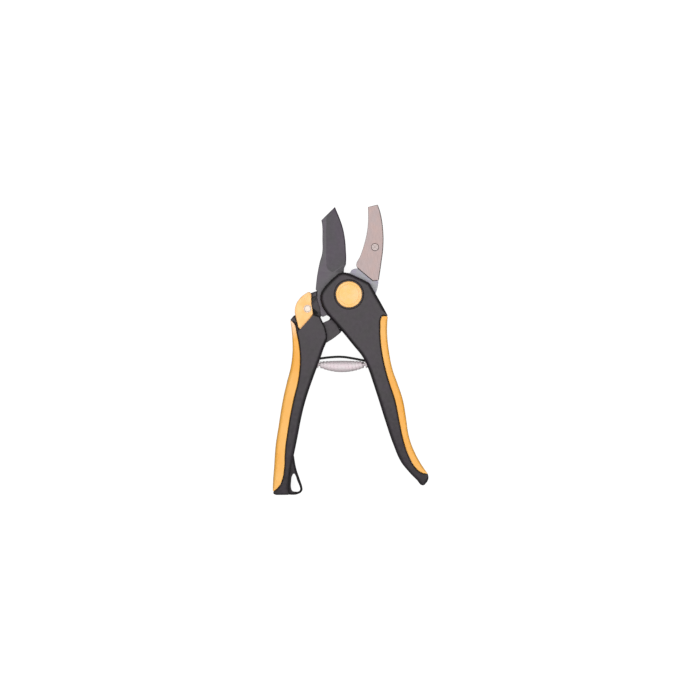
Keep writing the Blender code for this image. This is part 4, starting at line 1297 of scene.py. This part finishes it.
def bend(piece, look, node):
    """Gives a springy piece its material and creases, bakes its place into its mesh and hides its
    CAD node.
    """
    piece.data.materials.append(look)
    piece.data.shade_smooth()
    piece.data.set_sharp_from_angle(angle=math.radians(CREASE))
    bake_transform(piece)
    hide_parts(node)


def make_spring():
    """A strip wound in two cones that meet at the middle, with rounded edges."""
    trimmed = (STRIP_WIDTH / 2 + GAP) / (SPRING_RIGHT - SPRING_LEFT)
    section = [(-1, 0.7), (-0.92, 1), (0.92, 1), (1, 0.7)]
    section += [(1, 0.3), (0.92, 0), (-0.92, 0), (-1, 0.3)]
    count = SPRING_TURNS * SPRING_STEPS
    rows = []
    for i in range(count + 1):
        middle, along = spring_point(trimmed + (1 - 2 * trimmed) * i / count)
        across = Vector((-along.y, along.x))
        turn = 2 * math.pi * i / SPRING_STEPS
        widening = math.sin(math.pi * min(i, count - i) / count) ** CONE_CURVE
        row = []
        for side, depth in section:
            out = CONE_END_RADIUS + CONE_WIDENING * widening - depth * STRIP_THICKNESS
            flat = middle + along * (side * STRIP_WIDTH / 2) + across * (out * math.cos(turn))
            row.append((flat.x, flat.y, SPRING_HEIGHT + out * math.sin(turn)))
        rows.append(row)
    bend(swept("wound_spring", rows), BRIGHT, "return_spring")


def make_retainer():
    line = softened(retainer_line(RETAINER_THICKNESS / 2), 0.3)
    strip = slab("keeper_strip", line, RETAINER_BACK, RETAINER_FRONT, RETAINER_RIM)
    bend(strip, BLACKENED, "retaining_strip")


def make_seats():
    profile = [(0, 3.4), (0.7, 3.4), (1.05, 3.25), (1.2, 3.0), (1.2, 0), (2.3, 0), (2.6, -0.1)]
    profile += [(2.7, -0.35), (2.7, -1.4), (1.6, -1.4), (1.6, -4.2), (0, -4.2)]
    ends = ((0, "hook_handle", "left_spring_seat"), (1, "blade_handle", "right_spring_seat"))
    for share, body, node in ends:
        seat = aimed(spun(node + "_cup", profile, steps=SMALL_STEPS), share)
        finished(seat, BRIGHT, body, "black_steel", node)


# --- Stage ---


def make_floor():
    half = 3.0
    mesh = bpy.data.meshes.new("floor")
    corners = [(-half, -half, 0), (half, -half, 0), (half, half, 0), (-half, half, 0)]
    mesh.from_pydata(corners, [], [(0, 1, 2, 3)])
    mesh.materials.append(pale_floor())
    placed("floor", mesh)


def light_studio():
    """A round soft box overhead that fades towards a dim horizon."""
    world = bpy.data.worlds.new("studio")
    world.use_nodes = True
    nodes, links = world.node_tree.nodes, world.node_tree.links
    direction = nodes.new("ShaderNodeTexCoord").outputs["Generated"]
    split = nodes.new("ShaderNodeSeparateXYZ")
    links.new(direction, split.inputs["Vector"])
    ramp = map_range(nodes, links, split.outputs["Z"], SOFT_BOX)
    ramp.interpolation_type = "SMOOTHSTEP"
    links.new(ramp.outputs["Result"], nodes["Background"].inputs["Strength"])
    nodes["Background"].inputs["Color"].default_value = (1, 1, 1, 1)
    bpy.context.scene.world = world


def place_camera():
    """Straight above the shears, from far enough away that their sides hardly show."""
    data = bpy.data.cameras.new("camera")
    data.sensor_width = 36.0
    data.lens = data.sensor_width * (CAMERA_HEIGHT - VIEW_HEIGHT) / VIEW_WIDTH
    data.clip_end = 2 * CAMERA_HEIGHT * MM
    camera = placed("camera", data)
    camera.location = Vector((*VIEW_CENTRE, CAMERA_HEIGHT)) * MM
    bpy.context.scene.camera = camera
    bpy.context.scene.view_settings.view_transform = "Standard"


# --- Assembly ---


KEPT_NODES = {
    "catch_pawl": BLACKENED,
    "catch_washer": ZINC,
    "closing_bumper": RUBBER,
    "pivot_bush": BRONZE,
    "friction_washer": BRONZE,
    "spring_washer": BRIGHT,
    "hook_rivet_lower": STEEL,
}


def dress_kept_nodes():
    """The CAD nodes that stay in view get their looks."""
    for name, look in KEPT_NODES.items():
        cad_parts[name].material_slots[0].material = look


def main():
    make_right_body()
    make_right_grip()
    make_left_body()
    make_left_grip()
    make_blade()
    make_carrier()
    make_hook()
    make_upper_rivet()
    make_cap()
    make_bolt()
    make_nut()
    for node in RIGHT_SCREWS:
        make_screw(node, "blade_handle")
    for node in LEFT_SCREWS:
        make_screw(node, "hook_handle")
    make_lever()
    make_catch_rivet()
    make_spring()
    make_retainer()
    make_seats()
    dress_kept_nodes()
    make_floor()
    light_studio()
    place_camera()


main()
